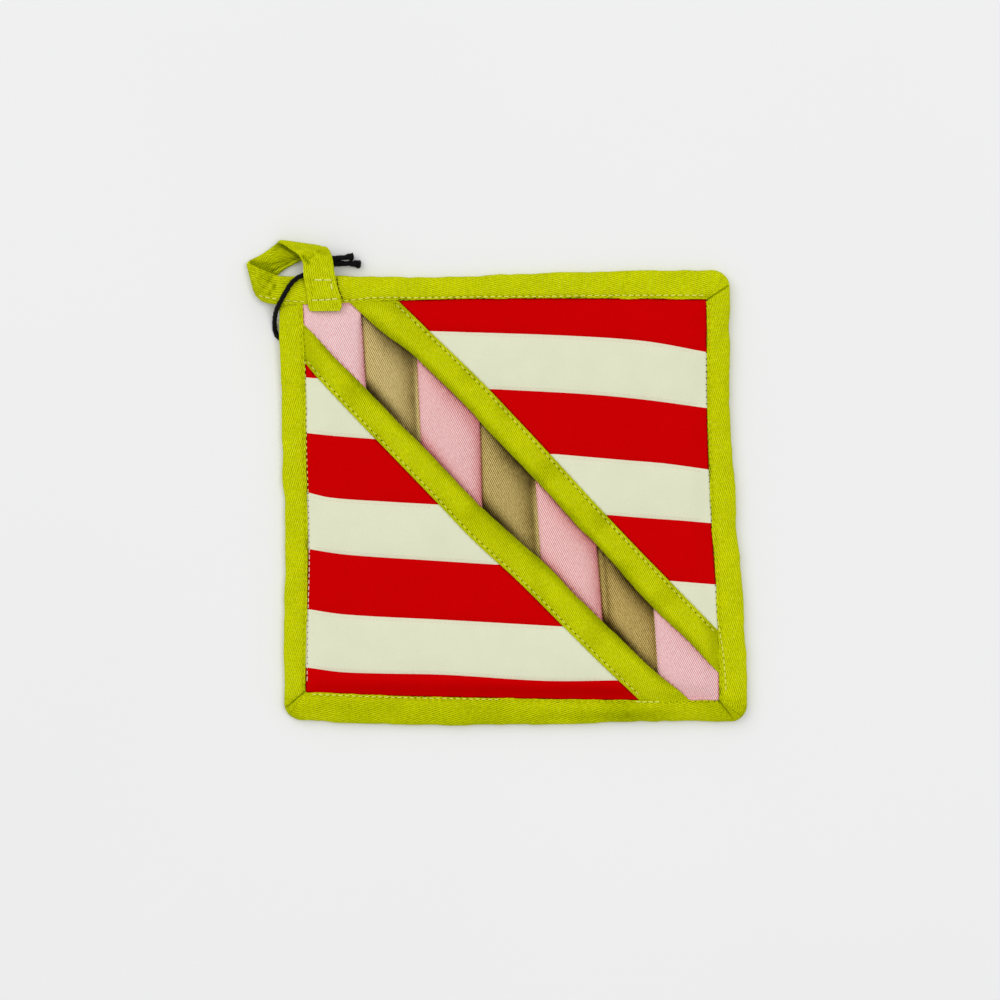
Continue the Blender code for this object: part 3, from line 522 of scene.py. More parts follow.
def stripe_height(x, y, right_side):
    """Height of the striped cloth, crowned between its seams and puckered along them."""
    number, share, seam_distance = stripe_place(x, y, right_side)
    beside = np.abs(y - line_at(strip_edge(UPPER_STRIP if right_side else LOWER_STRIP, 0), x)) / math.sqrt(2)
    crown = 1 - np.abs(2 * share - 1) ** STRIPE_CROWN
    kept = mix(CROWN_BY_STRIP, 1.0, smooth_step(beside / SETTLE_WIDTH))
    pucker = sum(size * soft_noise(x, number * step, pitch, seed) * np.exp(-seam_distance / reach)
                 for size, step, pitch, seed, reach in SEAM_PUCKERS)
    height = SEAM_HEIGHT + STRIPE_PUFF * crown * kept + PUCKER_HEIGHT * pucker + uneven(x, y, STRIPE_WAVES)
    return height - DITCH_DEPTH * bell(seam_distance, DITCH_WIDTH)


def band_form(x, y):
    """Height of the band's front, and the shade painted into its colour for its folds, 0 to 1."""
    number, share, across, beside = band_place(x, y)
    share = np.where(number == 0, np.maximum(share, FIRST_PATCH_START), share)
    share = np.where(number == len(BAND_SEAMS) - 2, np.minimum(share, LAST_PATCH_END), share)
    khaki = number % 2 == 1
    seam_distance = np.full_like(x, -99.0)
    for seam in PINK_SEAMS:
        nearer = np.abs(beside[seam]) < np.abs(seam_distance)
        seam_distance = np.where(nearer, beside[seam], seam_distance)
    pinkness = np.where(np.abs(seam_distance) < PINK_SEAM_REACH,
                        smooth_step((seam_distance + PINK_SEAM_REACH) / (2 * PINK_SEAM_REACH)), ~khaki)
    profile, along_shade = (
        np.where(khaki, np.where(number == LAST_KHAKI, hermite(LAST_KHAKI_PROFILE, column, share),
                                 hermite(KHAKI_PROFILE, column, share)),
                 hermite(PINK_PROFILE, column, share)) for column in (1, 2))
    rise, across_shade = (
        mix(hermite(KHAKI_RISE, column, across), hermite(PINK_RISE, column, across), pinkness)
        for column in (1, 2))
    least, start, width = LOWER_LINE_FADE
    lower_line = np.array(LOWER_LINE)[number] * mix(1.0, least, smooth_step((share - start) / width))
    least, start, width = UPPER_LINE_START
    upper_line = np.array(UPPER_LINE)[number] * mix(least, 1.0, smooth_step((share - start) / width))
    across_shade = across_shade * np.where(across < 0.5, lower_line, upper_line)
    nearest = np.minimum(np.abs(across), np.abs(1 - across))
    across_shade = np.maximum(across_shade, THIN_LINE * bell(nearest, THIN_LINE_WIDTH))
    tuck = np.where(khaki, np.maximum(0.0, 1 - share / TUCK_ALONG), 0.0)
    tuck = tuck * np.clip(1 - across / TUCK_ACROSS, 0.0, 1.0)
    floor = mix(BAND_FLOOR, np.array(PINK_FLOORS)[(number + 1) // 2], pinkness)
    height = floor + (profile - floor) * rise - POCKET_DEPTH * tuck
    wrinkle = soft_noise(1.4 * x + 0.4 * y, 0.35 * (y + x), 4.0, 8)
    edge = 0.4 + np.abs(2 * np.clip(across, 0.0, 1.0) - 1)
    height += WRINKLE_HEIGHT * wrinkle * edge + uneven(x, y, BAND_WAVES)
    # Painted shade of the folds along and across the patch and in the tucked pocket, a little uneven.
    fold = 1 - (1 - np.clip(along_shade, 0, 1)) * (1 - np.clip(across_shade, 0, 1)) * (1 - 0.6 * tuck)
    return np.maximum(height, LOWEST_FRONT), fold * (1 + 0.15 * soft_noise(x, y, 3.0, 10))


def front_form(x, y):
    """Height of the pad's front without the lift of its corner, and the shade painted into its colour for its
    folds.
    """
    height, fold = band_form(x, y)
    # Painted shade towards the lower binding and right beside the strips and the bindings.
    low_painted_shade = LOW_FRONT_SHADE * smooth_step((LOW_FRONT - y) / 9.0)
    for share, right_side in zip(strip_shares(x, y), (True, False)):
        outside = stripe_height(x, y, right_side)
        bed = mix(outside, UNDER_STRIP_HEIGHT, smooth_step(share / 0.3))
        bed = mix(bed, height, smooth_step((share - 0.55) / 0.25))
        height = np.where(share < 1.0, bed, height)
        beside = np.maximum(EDGE_SHADE * bell(share, 0.03), low_painted_shade)
        fold = np.where(share < 0.7, beside, fold)
    inside = inner_edge_distance(x, y)
    height = mix(RIM_HEIGHT, height, smooth_step(inside / SETTLE_WIDTH))
    fold = fold * mix(0.5, 1.0, smooth_step(inside / 5.0))
    patchy = 0.65 + 0.35 * soft_noise(x + y, x - y, 4.0, 12)
    fold = np.maximum(fold, EDGE_SHADE * patchy * bell(np.maximum(inside, 0.0), EDGE_SHADE_WIDTH))
    return height - RIM_STEP * smooth_step(-inside / 1.2), np.clip(fold, 0.0, 1.0)


def quilting_depth(x, y):
    """How far the sewing lines draw the back in."""
    upper_share, lower_share = strip_shares(x, y)
    right = stripe_place(x, y, True)[2]
    left = stripe_place(x, y, False)[2]
    distance = np.where(upper_share < 0, right, np.where(lower_share < 0, left, 99.0))
    for share in (upper_share, lower_share):
        distance = np.minimum(distance, STRIP_WIDTH * np.abs(share - 0.1))
    return QUILTING_DEPTH * bell(distance, QUILTING_WIDTH)


# ================================================================ mesh making
def add_piece(name, points, faces, materials, slot=None, face_material=None, loop_uv=None, fold=None):
    """Smooth mesh piece from points in millimetres; given a slot, it rides on the one body."""
    mesh = bpy.data.meshes.new(name)
    faces = [tuple(face) for face in np.asarray(faces).tolist()] if not isinstance(faces, list) else faces
    mesh.from_pydata((np.asarray(points) * MM).tolist(), [], faces)
    for material in materials:
        mesh.materials.append(material)
    if face_material is not None:
        mesh.polygons.foreach_set("material_index", np.asarray(face_material, dtype=np.int32))
    if loop_uv is not None:
        layer = mesh.uv_layers.new(name="cloth")
        layer.data.foreach_set("uv", np.asarray(loop_uv, dtype=np.float32).ravel())
    # The fold attribute holds the shade painted into a piece's colour: in its folds and creases, beside the
    # parts that stand over it, and on sides turned from the light.
    if fold is not None:
        layer = mesh.attributes.new("fold", "FLOAT", "POINT")
        layer.data.foreach_set("value", np.asarray(fold, dtype=np.float32))
    mesh.validate()
    mesh.update()
    builder = bmesh.new()
    builder.from_mesh(mesh)
    bmesh.ops.recalc_face_normals(builder, faces=builder.faces[:])
    builder.to_mesh(mesh)
    builder.free()
    mesh.shade_smooth()
    piece = bpy.data.objects.new(name, mesh)
    bpy.context.scene.collection.objects.link(piece)
    if slot is not None:
        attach(piece, "root")
    return piece


def grid_faces(rows, columns):
    """Quads between rows of points whose columns close on themselves, and both end caps."""
    index = np.arange(rows * columns).reshape(rows, columns)
    after = np.roll(index, -1, axis=1)
    quads = np.stack([index[:-1], after[:-1], after[1:], index[1:]], axis=-1).reshape(-1, 4)
    return [tuple(quad) for quad in quads.tolist()] + [tuple(index[0]), tuple(reversed(index[-1].tolist()))]


def sweep_uv(along, girth, columns):
    """Loop coordinates of a sweep: place along it and place round its section."""
    rows = along.shape[0]
    wide = np.concatenate([along, along[:, :1]], axis=1)
    round_it = np.concatenate([girth, girth[:, :1] + 2 * girth[:, -1:] - girth[:, -2:-1]], axis=1)
    corners = []
    for row_step, column_step in ((0, 0), (0, 1), (1, 1), (1, 0)):
        rows_used = slice(row_step, rows - 1 + row_step)
        columns_used = slice(column_step, columns + column_step)
        corners.append(np.stack([wide[rows_used, columns_used], round_it[rows_used, columns_used]], axis=-1))
    quads = np.stack(corners, axis=2).reshape(-1, 2)
    caps = np.concatenate([np.stack([along[0], girth[0]], axis=-1),
                           np.stack([along[-1], girth[-1]], axis=-1)[::-1]])
    return np.concatenate([quads, caps])


def section_girth(sections):
    """Distance round each section to each of its points."""
    steps = np.linalg.norm(np.diff(sections, axis=1), axis=2)
    return np.concatenate([np.zeros((len(sections), 1)), np.cumsum(steps, axis=1)], axis=1)


def grid_normals(sections):
    """Outward directions of a sweep whose sections run clockwise or anticlockwise all the way."""
    along = np.gradient(sections, axis=0)
    around = np.roll(sections, -1, axis=1) - np.roll(sections, 1, axis=1)
    normals = np.cross(along, around)
    normals /= np.maximum(np.linalg.norm(normals, axis=2, keepdims=True), 1e-9)
    middle = sections.mean(axis=1, keepdims=True)
    outward = ((sections - middle) * normals).sum() > 0
    return normals if outward else -normals


def tree_of(*things):
    """What stitches are laid on: all the faces of some pieces, in millimetres."""
    points = []
    faces = []
    for thing in things:
        first = len(points)
        mesh = thing.data
        points += [vertex.co / MM for vertex in mesh.vertices]
        faces += [[first + index for index in polygon.vertices] for polygon in mesh.polygons]
    return BVHTree.FromPolygons(points, faces)


def surface_height(tree, x, y):
    """Height of the cloth at a place, or None where there is no cloth."""
    hit = tree.ray_cast(Vector((x, y, 60.0)), Vector((0.0, 0.0, -1.0)))
    return hit[0].z if hit[0] is not None else None


def tube_rings(points, radii, sides):
    """Rings of points round a path."""
    points = np.asarray(points, float)
    tangents = np.gradient(points, axis=0)
    tangents /= np.maximum(np.linalg.norm(tangents, axis=1, keepdims=True), 1e-9)
    side = np.cross(tangents, np.array([0.0, 0.0, 1.0]))
    weak = np.linalg.norm(side, axis=1) < 0.05
    side[weak] = (0.0, 1.0, 0.0)
    side /= np.linalg.norm(side, axis=1, keepdims=True)
    upward = np.cross(side, tangents)
    angles = 2 * math.pi * np.arange(sides) / sides
    radii = np.asarray(radii, float)
    if radii.ndim == 1:
        radii = radii[:, None]
    spread = side[:, None] * np.cos(angles)[None, :, None]
    spread = spread + upward[:, None] * np.sin(angles)[None, :, None]
    return points[:, None] + spread * radii[..., None]


# A stitch from end to end: place along it as a share of its length, height there (above 0.5, the
# height at which its thread runs over the cloth), and radius as a share of the thread's.
STITCH_PROFILE = (
    (-0.5, -0.32, 0.7), (-0.42, 0.02, 0.95), (-0.2, 1.0, 1.0), (0.2, 1.0, 1.0), (0.42, 0.02, 0.95),
    (0.5, -0.32, 0.7),
)
STITCH_SIDES = 6
# A needle's hole from its foot up: radius as a share of the hole's, height.
HOLE_RINGS = ((1.0, -0.12), (0.8, 0.05), (0.35, 0.07))
HOLE_SIDES = 7


def stitch_mesh(spots, radius, rise):
    """Points, faces and kinds (1 where the thread dips into the cloth, painted in the shade of its hole) of
    one stitch.
    """
    path = [(x, y, base + (rise if height > 0.5 else height))
            for (x, y, base), (_, height, _) in zip(spots, STITCH_PROFILE)]
    radii = radius * np.array([row[2] for row in STITCH_PROFILE])
    rows = len(STITCH_PROFILE)
    kinds = [1 if row in (0, rows - 2) else 0 for row in range(rows - 1) for _ in range(STITCH_SIDES)]
    points = tube_rings(path, radii, STITCH_SIDES).reshape(-1, 3).tolist()
    return points, grid_faces(rows, STITCH_SIDES), kinds + [1, 1]


def hole_mesh(spot, size, number):
    """Points, faces and kinds of a needle's hole: a small disc of painted shade, each turned and bent a
    little.
    """
    x, y, base = spot
    points = []
    for ring_share, height in HOLE_RINGS:
        for corner in range(HOLE_SIDES):
            angle = 2 * math.pi * corner / HOLE_SIDES + number
            reach = size * ring_share * (1 + 0.15 * math.sin(3 * angle + number))
            points.append([x + reach * math.cos(angle), y + reach * math.sin(angle), base + height])
    faces = grid_faces(len(HOLE_RINGS), HOLE_SIDES)
    return points, faces, [1] * len(faces)


def add_stitches(name, rows, tree, thread, shade, slot, radius, rise):
    """Sewing along rows of points: (points, pitch, length of a stitch, radius of a needle hole); the shade
    material is the shade painted in the holes.
    """
    vertices = []
    faces = []
    kinds = []
    for points, pitch, length, hole in rows:
        path = evenly(points, 0.25)
        run = lengths(path)

        def spot(place):
            x, y = (np.interp(place, run, path[:, axis]) for axis in (0, 1))
            return x, y, surface_height(tree, x, y)

        for number in range(int(run[-1] // pitch)):
            wander = math.sin(number * 12.9898 + run[-1]) * 0.5
            centre = (number + 0.5 + 0.12 * wander) * pitch
            size = length * (1 + 0.12 * math.sin(number * 78.233 + run[-1]))
            spots = [spot(centre + row[0] * size) for row in STITCH_PROFILE]
            hole_spot = spot(centre - 0.5 * pitch)
            if None in [base for _, _, base in [*spots, hole_spot]]:
                continue
            made = []
            if length > 0:
                made.append(stitch_mesh(spots, radius, rise))
            if hole > 0:
                made.append(hole_mesh(hole_spot, hole, number))
            for new_points, new_faces, new_kinds in made:
                first = len(vertices)
                vertices += new_points
                faces += [tuple(first + index for index in face) for face in new_faces]
                kinds += new_kinds
    return add_piece(name, vertices, faces, [thread, shade], slot, face_material=kinds)


# ================================================================ materials
PAINTED_FOLD_SHADE = (1.3, 0.42)            # painted shade: how much fuller, and how much darker, a cloth's colour is painted where it lies in a fold
RED_PAINTED_SHADE = (1.3, 0.80)
CREAM_PAINTED_SHADE = (0.8, 0.18)
PINK_PAINTED_SHADE = (1.7, 0.22)
KHAKI_PAINTED_SHADE = (0.35, 0.85)
YARN_WANDER = 0.30           # how far the lines of a weave stray
YARN_WANDER_PITCH = 1.6
SLUB_STRETCH = 0.40          # thick places in the yarn are longer than wide by the inverse of this
SLUB_PITCH = 0.8             # as a share of the weave's pitch
LINE_CONTRAST = 0.42
MOTTLE_PITCH = 11.0
# Screen colours of the weave's hollows and ridges: the yarn's own tone, with painted shade in the hollows and
# painted light on the ridges.
GREEN = ((168, 176, 0), (222, 230, 6))
LOOP_GREEN = ((164, 173, 2), (222, 230, 16))
GREEN_TOP_HIGHLIGHT = (232, 236, 80)  # painted highlight on the tops of the green yarn
RED = ((190, 1, 3), (213, 1, 5))
CREAM = ((221, 223, 195), (231, 233, 205))
BACK_CREAM = ((221, 222, 200), (231, 232, 210))
PINKS = (
    ((224, 148, 153), (255, 235, 236)), ((214, 132, 132), (255, 224, 224)),
    ((213, 131, 130), (255, 222, 220)), ((215, 136, 139), (255, 228, 229)),
)
KHAKIS = (
    ((152, 123, 56), (238, 218, 152)), ((130, 99, 39), (228, 208, 134)), ((127, 93, 40), (226, 202, 124)),
)
# Lines of each weave: angle, pitch, how strong.
PLAIN_LINES = ((0, 0.52, 0.25), (90, 0.47, 0.25))
TAPE_LINES = ((18, 0.92, 0.85), (-18, 0.86, 0.60))
BIAS_LINES = ((19, 0.81, 0.80), (71, 0.80, 0.70))
LOOP_LINES = ((5, 1.0, 0.80), (-34, 0.92, 0.46))
PINK_LINES = ((-63, 0.82, 0.80), (63, 0.80, 0.62))
KHAKI_LINES = ((-63, 0.82, 0.92), (64, 0.80, 0.78))
CORD_LINES = ((35, 0.55, 0.6), (-35, 0.55, 0.6))
# The two shade threads are painted shade in the needle holes and where the thread dips into them; the dark
# one is also a dark thread with the painted shadow of the tab's edge.
THREADS = {
    "thread_green": (240, 240, 116), "thread_tab": (246, 246, 140), "thread_bias": (238, 240, 110),
    "dark_thread_and_painted_shade": (44, 48, 0), "thread_cream": (236, 222, 196), "cream_painted_hole_shade": (196, 168, 140),
}


class Cloth:
    """Builds one node material in millimetre coordinates."""

    def __init__(self, name, source):
        self.material = bpy.data.materials.new(name)
        self.material.use_nodes = True
        self.tree = self.material.node_tree
        self.shader = self.tree.nodes["Principled BSDF"]
        place = self.tree.nodes.new("ShaderNodeTexCoord")
        scale = self.tree.nodes.new("ShaderNodeVectorMath")
        scale.operation = "SCALE"
        scale.inputs["Scale"].default_value = 1.0 if source == "UV" else 1000.0
        self.link(place.outputs[source], scale.inputs[0])
        self.place = scale.outputs[0]

    def link(self, output, socket):
        self.tree.links.new(output, socket)

    def fill(self, socket, value):
        if isinstance(value, bpy.types.NodeSocket):
            self.link(value, socket)
        else:
            socket.default_value = value

    def maths(self, operation, *values):
        node = self.tree.nodes.new("ShaderNodeMath")
        node.operation = operation
        for socket, value in zip(node.inputs, values):
            self.fill(socket, value)
        return node.outputs[0]

    def vector(self, operation, first, second=None, scale=None):
        node = self.tree.nodes.new("ShaderNodeVectorMath")
        node.operation = operation
        self.fill(node.inputs[0], first)
        if second is not None:
            self.fill(node.inputs[1], second)
        if scale is not None:
            self.fill(node.inputs["Scale"], scale)
        return node.outputs["Value"] if operation == "DOT_PRODUCT" else node.outputs[0]

    def noise(self, place, pitch, detail=2.0, output="Fac"):
        node = self.tree.nodes.new("ShaderNodeTexNoise")
        node.inputs["Scale"].default_value = 1.0 / pitch
        node.inputs["Detail"].default_value = detail
        self.link(place, node.inputs["Vector"])
        return node.outputs[output]

    def wave(self, place, angle, pitch):
        """Sine across lines that run at an angle to the first axis, a pitch apart."""
        direction = (-math.sin(math.radians(angle)), math.cos(math.radians(angle)), 0.0)
        across = self.vector("DOT_PRODUCT", place, direction)
        return self.maths("SINE", self.maths("MULTIPLY", across, 2 * math.pi / pitch))

    def lines(self, place, waves):
        """Height of a weave from -1 to 1 or so: the sum of its sets of lines."""
        height = None
        for angle, pitch, weight in waves:
            part = self.maths("MULTIPLY", self.wave(place, angle, pitch), weight)
            height = part if height is None else self.maths("ADD", height, part)
        return height

    def blend(self, share, dark, light):
        node = self.tree.nodes.new("ShaderNodeMix")
        node.data_type = "RGBA"
        self.fill(node.inputs["Factor"], share)
        self.fill(node.inputs["A"], dark)
        self.fill(node.inputs["B"], light)
        return node.outputs["Result"]

    def stretched(self, place, angle, stretch):
        """Places turned to an angle and drawn out along it."""
        angle = math.radians(angle)
        node = self.tree.nodes.new("ShaderNodeCombineXYZ")
        along = self.vector("DOT_PRODUCT", place, (stretch * math.cos(angle), stretch * math.sin(angle), 0.0))
        across = self.vector("DOT_PRODUCT", place, (-math.sin(angle), math.cos(angle), 0.0))
        self.fill(node.inputs["X"], along)
        self.fill(node.inputs["Y"], across)
        return node.outputs[0]

    def painted_fold_shade(self, colour, fuller, darker):
        """The colour with painted shade: fuller and darker where the piece's own points lie in a fold, by
        their fold attribute.
        """
        fold = self.tree.nodes.new("ShaderNodeAttribute")
        fold.attribute_name = "fold"
        gamma = self.tree.nodes.new("ShaderNodeGamma")
        self.link(colour, gamma.inputs["Color"])
        self.fill(gamma.inputs["Gamma"], self.maths("MULTIPLY_ADD", fold.outputs["Fac"], fuller, 1.0))
        return self.vector("SCALE", gamma.outputs["Color"],
                           scale=self.maths("MULTIPLY_ADD", fold.outputs["Fac"], -darker, 1.0))

    def bump(self, height, distance):
        node = self.tree.nodes.new("ShaderNodeBump")
        node.inputs["Distance"].default_value = distance * MM
        node.inputs["Strength"].default_value = 1.0
        self.link(height, node.inputs["Height"])
        self.link(node.outputs["Normal"], self.shader.inputs["Normal"])

    def finish(self, colour, roughness, specular, sheen=0.0, tint=(1.0, 1.0, 1.0, 1.0)):
        self.link(colour, self.shader.inputs["Base Color"])
        for socket, value in (("Roughness", roughness), ("Specular IOR Level", specular),
                              ("Specular Tint", tint), ("Sheen Weight", sheen), ("Sheen Roughness", 0.5),
                              ("Sheen Tint", tint)):
            self.shader.inputs[socket].default_value = value
        return self.material


def linear(red, green, blue):
    """Linear colour of a screen colour."""
    values = []
    for value in (red, green, blue):
        value = value / 255
        values.append(value / 12.92 if value <= 0.04045 else ((value + 0.055) / 1.055) ** 2.4)
    return values


def shaded(colour, factor=1.0):
    return (*[min(value * factor, 1.0) for value in colour], 1.0)


def woven(name, source, colours, lines, depth, mottle, slubs=2.2, fold=PAINTED_FOLD_SHADE, sheen=0.08, top_highlight=None):
    """Cloth whose colour goes from the dark to the light one with the weave's height, its pattern with
    painted shade in the hollows and painted light on the ridges: bump of a depth, broad mottling and thick
    places in the yarn.
    """
    cloth = Cloth(name, source)
    jitter = cloth.noise(cloth.place, YARN_WANDER_PITCH, 2.0, "Color")
    jitter = cloth.vector("SUBTRACT", jitter, (0.5, 0.5, 0.5))
    place = cloth.vector("ADD", cloth.place, cloth.vector("SCALE", jitter, scale=YARN_WANDER))
    angle, pitch, _ = lines[0]
    slub = cloth.noise(cloth.stretched(cloth.place, angle, SLUB_STRETCH), SLUB_PITCH * pitch, 1.0)
    slub = cloth.maths("MULTIPLY", cloth.maths("SUBTRACT", slub, 0.5), slubs)
    height = cloth.maths("ADD", cloth.lines(place, lines), slub)
    share = cloth.maths("MULTIPLY_ADD", height, LINE_CONTRAST, 0.5)
    share.node.use_clamp = True
    dark, light = (shaded(linear(*colour)) for colour in colours)
    fine = cloth.blend(share, dark, light)
    # Painted highlight: the tops of the weave paler still.
    if top_highlight is not None:
        top = cloth.maths("MULTIPLY_ADD", height, 0.9, -0.88)
        top.node.use_clamp = True
        fine = cloth.blend(top, fine, shaded(linear(*top_highlight)))
    broad = cloth.maths("SUBTRACT", cloth.noise(cloth.place, MOTTLE_PITCH, 3.0), 0.5)
    toned = cloth.vector("SCALE", fine, scale=cloth.maths("MULTIPLY_ADD", broad, 2 * mottle, 1.0))
    cloth.bump(height, depth)
    return cloth.finish(cloth.painted_fold_shade(toned, *fold), 0.92, 0.05, sheen, light)


def cord_material():
    cord = Cloth("black_waxed_cord", "UV")
    weave = cord.lines(cord.place, CORD_LINES)
    share = cord.maths("MULTIPLY_ADD", weave, 0.4, 0.5)
    cord.bump(weave, 0.10)
    colour = cord.blend(share, shaded((0.001, 0.001, 0.001)), shaded((0.005, 0.005, 0.006)))
    return cord.finish(colour, 0.55, 0.10)


def thread_material(name, colour):
    thread = Cloth(name, "Object")
    twist = thread.noise(thread.place, 0.3, 1.0)
    base = linear(*colour)
    return thread.finish(thread.blend(twist, shaded(base, 0.75), shaded(base, 1.2)), 0.8, 0.1)


def make_materials():
    made = {
        "binding": woven("green_twill_tape", "UV", GREEN, TAPE_LINES, 0.08, 0.13, 2.5, top_highlight=GREEN_TOP_HIGHLIGHT),
        "strip": woven("green_twill_bias", "UV", GREEN, BIAS_LINES, 0.08, 0.13, 2.4, top_highlight=GREEN_TOP_HIGHLIGHT),
        "loop": woven("green_twill_loop", "UV", LOOP_GREEN, LOOP_LINES, 0.08, 0.13, 3.0, top_highlight=GREEN_TOP_HIGHLIGHT),
        "red": woven("red_cotton", "Object", RED, PLAIN_LINES, 0.04, 0.05, fold=RED_PAINTED_SHADE, sheen=0.0),
        "cream": woven("cream_cotton", "Object", CREAM, PLAIN_LINES, 0.04, 0.04, fold=CREAM_PAINTED_SHADE),
        "back": woven("plain_back_cotton", "Object", BACK_CREAM, PLAIN_LINES, 0.04, 0.04),
        "cord": cord_material(),
    }
    for kind, cloths, settings in (("pink", PINKS, (PINK_LINES, 0.06, 0.05, 1.5, PINK_PAINTED_SHADE)),
                                   ("khaki", KHAKIS, (KHAKI_LINES, 0.08, 0.06, 2.0, KHAKI_PAINTED_SHADE))):
        for number, colours in enumerate(cloths):
            made[f"{kind}_{number}"] = woven(f"{kind}_twill_{number + 1}", "Object", colours, *settings)
    made.update({name: thread_material(name, colour) for name, colour in THREADS.items()})
    return made


# ================================================================ pad
PAD_STEPS = (150, 6)         # points along a side and round a corner
FRONT_PITCH = 1.0
BACK_PITCH = 1.7
NET_ROW_PITCH = 0.87         # of the front's net, as a share of its pitch
BESIDE_SEAM = (-0.9, -0.45, 0.45, 0.9)
BESIDE_BINDING = (0.05, 0.35, 0.75)
BACK_KIND = 9                # the back's place among the pad's materials


def seam_rows():
    """Points along every seam of the patchwork that the net of the front keeps to."""
    rows = []
    for seams, side, number in ((RIGHT_SEAMS, 1, 0), (LEFT_SEAMS, -1, 1)):
        for seam in seams:
            xs = np.arange(-110.0, 110.0, 0.8)
            ys = line_at(seam, xs)
            keep = (strip_shares(xs, ys)[number] < 0.4) & (inner_edge_distance(xs, ys) > -2.0)
            keep &= xs * side > min(x * side for x, _ in seam) - 12
            rows.append(np.column_stack([xs[keep], ys[keep]]))
    for foot_x, head_x in BAND_SEAMS[1:-1]:
        foot = np.array([foot_x, line_at(strip_edge(LOWER_STRIP, 1), foot_x)])
        head = np.array([head_x, line_at(strip_edge(UPPER_STRIP, 1), head_x)])
        row = mix(foot, head, np.linspace(-0.18, 1.18, 48)[:, None])
        rows.append(row[inner_edge_distance(row[:, 0], row[:, 1]) > -2.0])
    return [row for row in rows if len(row) > 2]


def ring_edges(count):
    return [(index, (index + 1) % count) for index in range(count)]


def flat_net(points, edges, ring_size):
    """Points and triangles of a flat net inside the ring of its first points."""
    result = delaunay_2d_cdt([Vector(point) for point in points.tolist()], edges, [], 1, 1e-6, False)
    net_points = np.array([(point.x, point.y) for point in result[0]])
    return net_points, within_ring(net_points, result[2], ring_size)


def within_ring(points, faces, ring_size):
    """The faces that lie inside the ring of the first points."""
    start = points[:ring_size]
    end = np.roll(start, -1, axis=0)
    kept = []
    for face in faces:
        if max(face) < ring_size:
            x, y = points[list(face)].mean(axis=0)
            spans = (start[:, 1] > y) != (end[:, 1] > y)
            slope = (end[spans, 0] - start[spans, 0]) / (end[spans, 1] - start[spans, 1])
            crossings = (start[spans, 0] + (y - start[spans, 1]) * slope > x).sum()
            if crossings % 2 == 0:
                continue
        kept.append(list(face))
    return kept


def front_net(boundary, pitch):
    """Net inside a boundary that keeps to the seams, with rows close beside them."""
    seams = seam_rows()
    points = [boundary]
    edges = ring_edges(len(boundary))
    first = len(boundary)
    for row in seams:
        edges += [(first + index, first + index + 1) for index in range(len(row) - 1)]
        points.append(row)
        first += len(row)
    for row in seams:
        direction = np.gradient(row, axis=0)
        direction /= np.linalg.norm(direction, axis=1, keepdims=True)
        aside = np.column_stack([-direction[:, 1], direction[:, 0]])
        points += [row[1:-1] + offset * aside[1:-1] for offset in BESIDE_SEAM]
    points += [outline(BINDING_WIDTH + offset, 190, 2) for offset in BESIDE_BINDING]
    kept = np.vstack(points)
    near = KDTree(len(kept))
    for index, point in enumerate(kept):
        near.insert((point[0], point[1], 0.0), index)
    near.balance()
    across = np.arange(-100.0, 100.0, pitch)
    levels = np.arange(-100.0, 100.0, pitch * NET_ROW_PITCH)
    grid = np.array([(x + (0.5 * pitch if row % 2 else 0.0), y)
                     for row, y in enumerate(levels) for x in across])
    grid = grid[inner_edge_distance(grid[:, 0], grid[:, 1]) > -2.4]
    far = [near.find((x, y, 0.0))[2] > 0.62 * pitch for x, y in grid]
    return flat_net(np.vstack([kept, grid[np.array(far)]]), edges, len(boundary))


def back_net():
    """Net of the plain back, inside the edge that its cloth is turned to."""
    edge = outline(PAD_EDGE[-1][0], *PAD_STEPS)
    places = np.arange(-90.0, 90.0, BACK_PITCH)
    inner = np.array([(x, y) for x in places for y in places])
    inner = inner[inner_edge_distance(inner[:, 0], inner[:, 1]) > 1.6]
    return flat_net(np.vstack([edge, inner]), ring_edges(len(edge)), len(edge))


def face_regions(points, faces):
    """Material of each face of the front: red, cream, the khakis and the pinks."""
    centres = points[np.array(faces)].mean(axis=1)
    x = centres[:, 0]
    y = centres[:, 1]
    upper_share, lower_share = strip_shares(x, y)
    right = stripe_place(x, y, True)[0] % 2
    left = stripe_place(x, y, False)[0] % 2
    patch = band_place(x, y)[0]
    region = 2 + patch
    region = np.where(upper_share < 0.5, right, region)
    return np.where(lower_share < 0.5, left, region)


